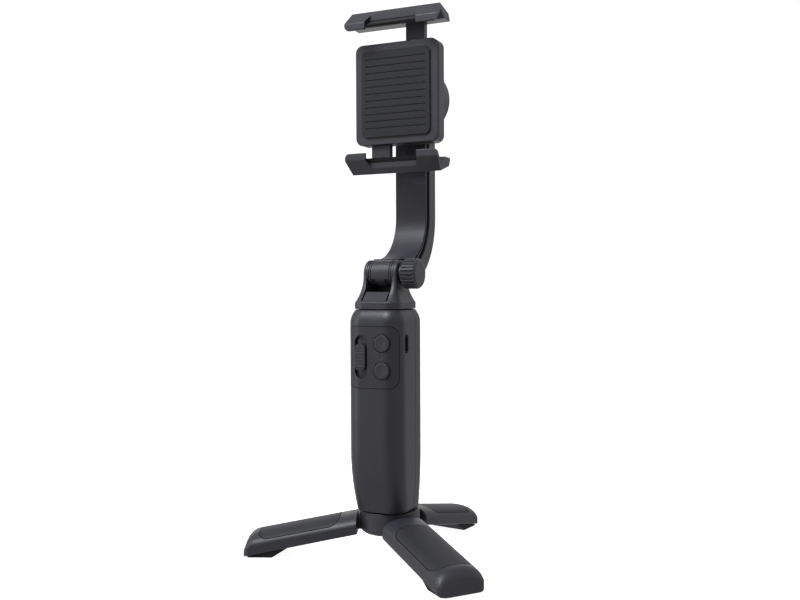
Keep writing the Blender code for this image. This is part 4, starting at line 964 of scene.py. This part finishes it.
def arm_outline(inner, outer, start_y, top):
    """The J of the arm as (y, z) points: level behind the hinge, then a quarter turn, then a column."""
    center = (ARM_ARC_Y, ARM_ARC_Z)
    down = -math.pi / 2
    return (
        [(start_y, ARM_ARC_Z - outer)]
        + arc(center, outer, down, 0, 48)
        + [(ARM_ARC_Y + outer, top), (ARM_ARC_Y + inner, top)]
        + arc(center, inner, 0, down, 48)
        + [(start_y, ARM_ARC_Z - inner)]
    )


def barrel_drum(radius, low, high):
    """A drum round the hinge's axis with rounded rims."""
    edge = 0.25 * MM
    rim = arc((radius - edge, low + edge), edge, -math.pi / 2, 0, 4)
    rim += arc((radius - edge, high - edge), edge, 0, math.pi / 2, 4)
    return turned([(0, low)] + rim + [(0, high)], "X", HINGE)


def arm_layer(low, high, half_width):
    """A layer of the arm's front cover, between two depths below its front face."""
    bottom, top = HINGE_Y + 2.5 * MM, CLAMP_Z - 10 * MM
    outline = arm_outline(ARM_INNER_RADIUS + low, ARM_INNER_RADIUS + high, bottom, top)
    return prism(outline, "X", -half_width, half_width)


def knuckle_strip(start, end, half_width):
    """A strip that lies on the hinge barrel between two angles, in degrees from +Y towards +Z."""
    start, end = math.radians(start), math.radians(end)
    outer_side = arc(HINGE, PLATE_RADIUS, start, end, 32)
    inner_side = arc(HINGE, BARREL_RADIUS + 0.3 * MM, end, start, 32)
    return prism(outer_side + inner_side, "X", -half_width, half_width)


def make_arm():
    outline = arm_outline(ARM_BODY_RADIUS, ARM_OUTER_RADIUS, HINGE_Y, CLAMP_Z)
    body = prism(outline, "X", -ARM_HALF_WIDTH, ARM_HALF_WIDTH)
    soften(body, 0.6 * MM, 4, 45)
    rim = 1.6 * MM
    back_rim = arc((MOTOR_RADIUS - rim, MOTOR_BACK - rim), rim, 0, math.pi / 2, 8)
    front_rim = arc((MOTOR_RADIUS - 0.4 * MM, MOTOR_FRONT + 0.4 * MM), 0.4 * MM, -math.pi / 2, 0, 4)
    inside = MOTOR_RADIUS - 1.7 * MM
    housing = turned([(0, MOTOR_FRONT)] + front_rim + back_rim + [(0, MOTOR_BACK)], "Y", MOTOR, 128)
    join(body, housing)
    bore(body, inside, "Y", MOTOR, 0, MOTOR_BACK - 4.7 * MM)
    bore(body, inside, "Y", MOTOR, MOTOR_BACK - 2.2 * MM, 60 * MM)
    front, back = 27.5 * MM, MOTOR_BACK - 4.5 * MM
    section = [(6.6 * MM, back), (6.6 * MM, front), (5.9 * MM, front), (5.9 * MM, back)]
    holder = turned(section, "Y", MOTOR)
    join(body, holder)
    bore(body, 2.6 * MM, "Y", MOTOR, 20 * MM, 60 * MM, 32)
    for side in (-1, 1):
        low, high = sorted((side * BARREL_HALF_WIDTH, side * 20 * MM))
        bore(body, ARM_SHOULDER, "X", HINGE, low, high)
        below = HINGE_Z - 2.3 * MM
        cut(body, block((low, HINGE_Y - 5 * MM, HINGE_Z - 20 * MM), (high, HINGE_Y + 11 * MM, below)))
    join(body, barrel_drum(BARREL_RADIUS, -BARREL_HALF_WIDTH, BARREL_HALF_WIDTH))
    for side in (-1, 1):
        ends = sorted((side * (PLATE_HALF_WIDTH + GAP), side * (BARREL_HALF_WIDTH - 0.01 * MM)))
        join(body, barrel_drum(PLATE_RADIUS, *ends))
    bore(body, BOLT_HOLE, "X", HINGE, -20 * MM, 20 * MM, 48)
    finish(body, "arm_shell", "arm", "arm_plastic", "arm_body")

    cover = arm_layer(0, ARM_COVER_DEPTH, ARM_HALF_WIDTH - 1.6 * MM)
    join(cover, soften(arm_layer(-0.01 * MM, 0.8 * MM, ARM_HALF_WIDTH - 0.2 * MM), 0.25 * MM, 3, 45))
    join(cover, soften(arm_layer(2.4 * MM, 3.4 * MM, ARM_HALF_WIDTH - 0.8 * MM), 0.2 * MM, 2, 45))
    bore(cover, MOTOR_RADIUS + GAP, "Y", MOTOR, 0, 60 * MM, 128)
    bore(cover, BARREL_RADIUS + 1.0 * MM, "X", HINGE, -20 * MM, 20 * MM)
    for side in (-1, 1):
        low, high = sorted((side * BARREL_HALF_WIDTH, side * 20 * MM))
        bore(cover, ARM_SHOULDER, "X", HINGE, low, high)
    finish(cover, "arm_front_cover", "arm", "arm_plastic", "arm_cover")

    plate = knuckle_strip(80, 203, PLATE_HALF_WIDTH)
    join(plate, knuckle_strip(195, 243, PLATE_HALF_WIDTH / 2))
    finish(soften(plate, 0.1 * MM, 2, 50), "knuckle_plate", "arm", "arm_plastic", "knuckle_cover")

    radius = CAP_HIGH.x
    low, high = CAP_LOW.y, CAP_HIGH.y
    edge = arc((radius - 0.5 * MM, high - 0.5 * MM), 0.5 * MM, 0, math.pi / 2, 5)
    groove = [(radius - 2.6 * MM, high), (radius - 2.8 * MM, high - 0.3 * MM), (radius - 3.1 * MM, high)]
    cap = turned([(0, low), (radius, low)] + edge + groove + [(0, high)], "Y", MOTOR, 128)
    finish(cap, "motor_cap", "arm", "arm_plastic", "motor_back_cap")


# ---------------------------------------------------------------- clamp


def clamp_outline(inset, radius):
    half_width, half_height = CLAMP_HALF_WIDTH - inset, CLAMP_HALF_HEIGHT - inset
    low, high = (-half_width, CLAMP_Z - half_height), (half_width, CLAMP_Z + half_height)
    return rounded_rectangle(low, high, radius)


def make_clamp():
    back, front = CLAMP_HIGH.y, CLAMP_LOW.y
    base = soften(prism(clamp_outline(0, 4.0 * MM), "Y", front, back), 0.7 * MM, 4, 45)
    cut(base, prism(clamp_outline(2.2 * MM, 2.0 * MM), "Y", front - MM, back - 2.0 * MM))
    bore(base, 2.3 * MM, "Y", MOTOR, 0, 40 * MM, 32)
    for side in (-1, 1):
        low_x, high_x = sorted((side * (STEM_INNER - 1.4 * MM), side * (STEM_OUTER + 0.4 * MM)))
        low_z, high_z = sorted((side * 20 * MM, side * 40 * MM))
        low = (low_x, STEM_FRONT - GAP, CLAMP_Z + low_z)
        cut(base, block(low, (high_x, STEM_BACK + GAP, CLAMP_Z + high_z)))
        at = (side * GUIDE_X, GUIDE_Y)
        bore(base, GUIDE_BORE, "Z", at, 0, 0.4, 32)
        name = "left" if side < 0 else "right"
        guide = cylinder(1.25 * MM, "Z", at, CLAMP_Z - 25.8 * MM, CLAMP_Z + 25.8 * MM, 32)
        finish(soften(guide, 0.2 * MM), f"jaw_guide_{name}", "clamp", "steel", f"guide_rod_{name}")
    finish(base, "clamp_housing", "clamp", "arm_plastic", "clamp_base")

    plate_low, plate_high = span("clamp_front_plate")
    plate = soften(prism(clamp_outline(0, 4.0 * MM), "Y", plate_low.y, plate_high.y), 0.5 * MM, 3, 45)
    finish(plate, "clamp_plate", "clamp", "arm_plastic", "clamp_front_plate")
    pad_low, pad_high = span("clamp_pad")
    pad = prism(clamp_outline(4.0 * MM, 3.0 * MM), "Y", pad_low.y, pad_high.y)
    rows = 11
    for i in range(rows):
        z = CLAMP_Z + (i - (rows - 1) / 2) * 3.6 * MM
        low = (-17 * MM, pad_low.y - MM, z - 0.4 * MM)
        cut(pad, block(low, (17 * MM, pad_low.y + 0.35 * MM, z + 0.4 * MM)))
    finish(soften(pad, 0.12 * MM, 2), "grip_pad", "clamp", "rubber", "clamp_pad")

    face, disc, rim = back + GAP, 21.4 * MM, 34.0 * MM
    section = [(2.3 * MM, disc), (2.3 * MM, face), (7.7 * MM, face), (8.0 * MM, back + 2 * GAP)]
    section += [(8.0 * MM, disc), (15.4 * MM, disc), (15.8 * MM, 21.8 * MM), (15.8 * MM, rim)]
    section += [(14.2 * MM, rim), (14.2 * MM, 24.0 * MM), (2.3 * MM, 24.0 * MM)]
    bell = turned(section, "Y", MOTOR)
    finish(bell, "motor_bell", "clamp", "steel", "motor_rotor")
    shaft = soften(cylinder(1.95 * MM, "Y", MOTOR, 17.5 * MM, 38.0 * MM, 48), 0.2 * MM)
    finish(shaft, "motor_axle", "clamp", "steel", "motor_shaft")

    outline = []
    tooth = ((-0.22, 3.35), (-0.15, 3.9), (-0.09, 4.5), (0.09, 4.5), (0.15, 3.9), (0.22, 3.35))
    for i in range(PINION_TEETH):
        for share, radius in tooth:
            angle = 2 * math.pi * (i + share) / PINION_TEETH
            outline.append((radius * MM * math.cos(angle), CLAMP_Z + radius * MM * math.sin(angle)))
    pinion = prism(outline, "Y", STEM_FRONT, STEM_BACK)
    finish(soften(pinion, 0.08 * MM, 2), "clamp_pinion", "jaw_gear", "pinion_plastic", "pinion")


def jaw_outline(top):
    """The upper jaw's V section as (y, z) points: the lip's nose, the ridge, then the back wall."""
    corners = [
        (-6.0, -3.3, 0.5),
        (-6.0, 0.3, 0.9),
        (1.0, 7.3, 0.7),
        (11.2, 3.9, 0.6),
        (11.2, -0.2, 0.2),
        (3.8, -0.2, 0.2),
        (0.0, 3.6, 0.3),
        (-4.3, -0.7, 0.2),
        (-4.3, -3.3, 0.4),
    ]
    points = [(DEVICE_Y + a * MM, top + b * MM) for a, b, _ in corners]
    return rounded_outline(points, [radius * MM for _, _, radius in corners], 5)


def rack_outline():
    """The upper jaw's stem as (x, z) points: a bar whose inner edge is a rack."""
    low, high = CLAMP_Z - 15.0 * MM, CLAMP_Z + DEVICE_HALF_HEIGHT + 2.0 * MM
    pitch = 2 * math.pi * PINION_RADIUS / PINION_TEETH
    points = [(STEM_OUTER, low), (STEM_OUTER, high), (STEM_INNER, high)]
    for i in range(5, -7, -1):
        z = CLAMP_Z + (i + 0.5) * pitch
        for share, x in ((0.20, 4.8), (0.08, 3.75), (-0.08, 3.75), (-0.20, 4.8)):
            points.append((x * MM, z + share * pitch))
    return points + [(STEM_INNER, low)]


def make_jaw(shift):
    """A jaw and its pad, the right way up, with the grip moved sideways on its stem by a shift."""
    end = JAW_HALF_LENGTH
    top = CLAMP_Z + DEVICE_HALF_HEIGHT
    jaw = prism(jaw_outline(top), "X", shift - end, shift + end)
    for side in (-1, 1):
        corner = []
        for x, z in ((5, -5), (-6, -5), (-6, -3.4), (-0.3, -3.4), (-0.3, 1), (-1.9, 9), (5, 9)):
            corner.append((shift + side * (end + x * MM), top + z * MM))
        outline = rounded_outline(corner, [0, 0, 0, 2.8 * MM, 1.0 * MM, 0, 0], 10)
        cut(jaw, prism(outline, "Y", -20 * MM, 40 * MM))
    notch = ((-14.5, -6), (-14.5, 0.8), (-12.5, 4.4), (12.5, 4.4), (14.5, 0.8), (14.5, -6))
    outline = rounded_outline(in_mm(notch, shift, top), [0, 2.0 * MM, 1.2 * MM, 1.2 * MM, 2.0 * MM, 0], 8)
    cut(jaw, prism(outline, "Y", -20 * MM, DEVICE_Y - 2.0 * MM))
    soften(jaw, 0.3 * MM, 3, 40)
    stem = prism(rack_outline(), "Y", STEM_FRONT, STEM_BACK)
    low = (STEM_OUTER - MM, STEM_FRONT, CLAMP_Z - 15.0 * MM)
    join(stem, block(low, (GUIDE_X + 2.5 * MM, STEM_BACK, CLAMP_Z - 12.0 * MM)))
    bore(stem, GUIDE_BORE, "Z", (GUIDE_X, GUIDE_Y), 0, 0.4, 32)
    join(jaw, stem)

    pad_section = [(-3.7, -0.6), (0.0, 3.15), (3.35, -0.2), (1.8, -0.2), (0.0, 1.6), (-2.2, -0.6)]
    outline = in_mm(pad_section, DEVICE_Y, top)
    pad = prism(outline, "X", shift - end + 3.5 * MM, shift + end - 3.5 * MM)
    return jaw, soften(pad, 0.15 * MM, 2)


def make_spring():
    """The upper jaw's spring, between its lug and the clamp's upper wall, round the right guide rod."""
    turns, per_turn = 11, 20
    count = turns * per_turn
    curve = bpy.data.curves.new("spring", "CURVE")
    curve.dimensions = "3D"
    curve.bevel_depth = 0.3 * MM
    curve.bevel_resolution = 3
    curve.use_fill_caps = True
    spline = curve.splines.new("POLY")
    spline.points.add(count)
    for i, point in enumerate(spline.points):
        angle = 2 * math.pi * i / per_turn
        radius = 2.25 * MM
        z = SPRING_START + 0.3 * MM + (SPRING_END - SPRING_START - 0.6 * MM) * i / count
        point.co = (GUIDE_X + radius * math.cos(angle), GUIDE_Y + radius * math.sin(angle), z, 1)
    wire = add("spring", curve)
    mesh = evaluated_mesh(wire)
    bpy.data.objects.remove(wire, do_unlink=True)
    bm = bmesh.new()
    bm.from_mesh(mesh)
    bmesh.ops.remove_doubles(bm, verts=bm.verts, dist=0.001 * MM)
    return shape(bm)


def make_jaws():
    turn_over = (
        Matrix.Translation((0, 0, CLAMP_Z))
        @ Matrix.Rotation(math.pi, 4, "Y")
        @ Matrix.Translation((0, 0, -CLAMP_Z))
    )
    upper = ("upper", "jaw_top", "jaw_slide", JAW_SHIFT, Matrix.Identity(4))
    lower = ("lower", "jaw_bottom", "lower_jaw_slide", -JAW_SHIFT, turn_over)
    for name, body, slide, shift, turn in (upper, lower):
        jaw, pad = make_jaw(shift)
        finish(moved(jaw, turn), f"{name}_jaw_grip", body, "arm_plastic", f"{name}_jaw")
        finish(moved(pad, turn), f"{name}_grip_pad", body, "rubber", f"{name}_jaw_pad")
        spring = finish(
            moved(make_spring(), turn), f"{name}_pull_spring", "clamp", "steel", f"{name}_spring"
        )
        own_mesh(spring)


# ---------------------------------------------------------------- carried-over nodes, stage and camera


def dress_hidden_nodes():
    """The pieces inside the handle and the motor keep their CAD shape, with their slot's material."""
    slots = {part["node"]: part["material_slot"] for part in frame["record"]["subparts"]}
    for name, node in frame["nodes"].items():
        node.data.materials.clear()
        node.data.materials.append(MATERIALS[slots[name]])


def glowing(name, brightness, color):
    """A white that shines by itself and takes a little shade, for the studio's floor and backdrop."""
    material = bpy.data.materials.new(name)
    material.use_nodes = True
    shader = material.node_tree.nodes["Principled BSDF"]
    shader.inputs["Base Color"].default_value = (*color, 1)
    shader.inputs["Roughness"].default_value = 1.0
    shader.inputs["Specular IOR Level"].default_value = 0.0
    shader.inputs["Emission Color"].default_value = (1, 1, 1, 1)
    shader.inputs["Emission Strength"].default_value = brightness
    return material


def make_stage():
    """A pale floor and a white backdrop all round, which only the camera sees."""
    bm = bmesh.new()
    bmesh.ops.create_grid(bm, x_segments=1, y_segments=1, size=4.0)
    floor = shape(bm)
    floor.name = "studio_floor"
    floor.data.materials.append(glowing("studio_floor", 0.92, (0.8, 0.8, 0.8)))
    bm = bmesh.new()
    bmesh.ops.create_icosphere(bm, subdivisions=4, radius=4.0)
    backdrop = shape(bm)
    backdrop.name = "studio_backdrop"
    backdrop.data.materials.append(glowing("studio_backdrop", 1.1, (0, 0, 0)))
    for obj in (floor, backdrop):
        obj.visible_diffuse = False
        obj.visible_glossy = False
    backdrop.visible_shadow = False
    make_world()


# Directions from the object, measured from its front towards +X.
CARD_AZIMUTH = math.radians(24)
BACK_AZIMUTH = math.radians(208)


def ramp(nodes, stops):
    """A colour ramp through (position, brightness) stops."""
    node = nodes.new("ShaderNodeValToRGB")
    for i, (position, brightness) in enumerate(stops):
        element = node.color_ramp.elements[i] if i < 2 else node.color_ramp.elements.new(position)
        element.position = position
        element.color = (brightness, brightness, brightness, 1)
    return node


def make_world():
    """Soft light from all round: dim at the dark card beside the camera, bright behind the object."""
    world = bpy.data.worlds.new("studio")
    bpy.context.scene.world = world
    world.use_nodes = True
    nodes, links = world.node_tree.nodes, world.node_tree.links
    direction = nodes.new("ShaderNodeTexCoord").outputs["Generated"]
    parts = nodes.new("ShaderNodeSeparateXYZ")
    links.new(direction, parts.inputs["Vector"])
    height = nodes.new("ShaderNodeMapRange")
    height.inputs["From Min"].default_value = -1.0
    links.new(parts.outputs["Z"], height.inputs["Value"])
    sky = ramp(nodes, [(0.0, 0.60), (1.0, 0.46), (0.40, 0.56), (0.47, 0.36), (0.57, 0.54)])
    links.new(height.outputs["Result"], sky.inputs["Fac"])

    brightness = sky.outputs["Color"]
    for azimuth, rise, stops in (
        (CARD_AZIMUTH, 0.25, [(0.78, 1.0), (0.95, 0.30)]),
        (BACK_AZIMUTH, 0.0, [(0.72, 0.38), (0.97, 1.0)]),
    ):
        toward = nodes.new("ShaderNodeVectorMath")
        toward.operation = "DOT_PRODUCT"
        toward.inputs[1].default_value = (math.sin(azimuth), -math.cos(azimuth), rise)
        links.new(direction, toward.inputs[0])
        share = ramp(nodes, stops)
        links.new(toward.outputs["Value"], share.inputs["Fac"])
        product = nodes.new("ShaderNodeMix")
        product.data_type = "RGBA"
        product.blend_type = "MULTIPLY"
        product.inputs["Factor"].default_value = 1.0
        links.new(brightness, product.inputs["A"])
        links.new(share.outputs["Color"], product.inputs["B"])
        brightness = product.outputs["Result"]
    links.new(brightness, nodes["Background"].inputs["Color"])
    nodes["Background"].inputs["Strength"].default_value = 2.6


def softbox(name, place, target, size, power, color=(1, 1, 1)):
    light = bpy.data.lights.new(name, "AREA")
    light.shape = "RECTANGLE"
    light.size, light.size_y = size
    light.energy = power
    light.color = color
    lamp = add(name, light)
    lamp.location = place
    lamp.rotation_euler = (Vector(target) - Vector(place)).to_track_quat("-Z", "Y").to_euler()


def make_lights():
    middle = ORIGIN + Vector((0, 0, 0.14))
    softbox("top_front", (-0.14, -0.62, 0.95), middle, (0.55, 0.40), 10.0, (0.92, 0.95, 1.0))
    softbox("left_fill", (-0.85, -0.55, 0.35), middle, (0.5, 0.9), 3.0)
    softbox("right_rim", (0.70, 0.75, 0.35), middle, (0.4, 0.9), 0.5)


def make_camera():
    """The photograph's view: the camera's place round the tripod's axis, then its aim, turn and lens."""
    around, distance, height = math.radians(25.51), 0.48196, 0.14095
    yaw, pitch, roll = math.radians(24.83), math.radians(1.18), math.radians(0.25)
    place = Vector((distance * math.sin(around), -distance * math.cos(around), height))
    forward = Vector(
        (-math.sin(yaw) * math.cos(pitch), math.cos(yaw) * math.cos(pitch), -math.sin(pitch))
    )
    data = bpy.data.cameras.new("camera")
    data.sensor_width = 36.0
    data.lens = 42.19
    data.clip_start = 0.01
    data.clip_end = 20.0
    camera = add("camera", data)
    camera.rotation_mode = "QUATERNION"
    level = forward.to_track_quat("-Z", "Y")
    camera.rotation_quaternion = level @ Matrix.Rotation(-roll, 3, "Z").to_quaternion()
    camera.location = ORIGIN + place
    bpy.context.scene.camera = camera


bpy.context.scene.view_settings.view_transform = "Standard"
make_camera()
dress_hidden_nodes()
make_tripod()
make_handle()
make_rods()
make_hinge_base()
make_hinge_hardware()
make_knob()
make_arm()
make_clamp()
make_jaws()
make_stage()
make_lights()
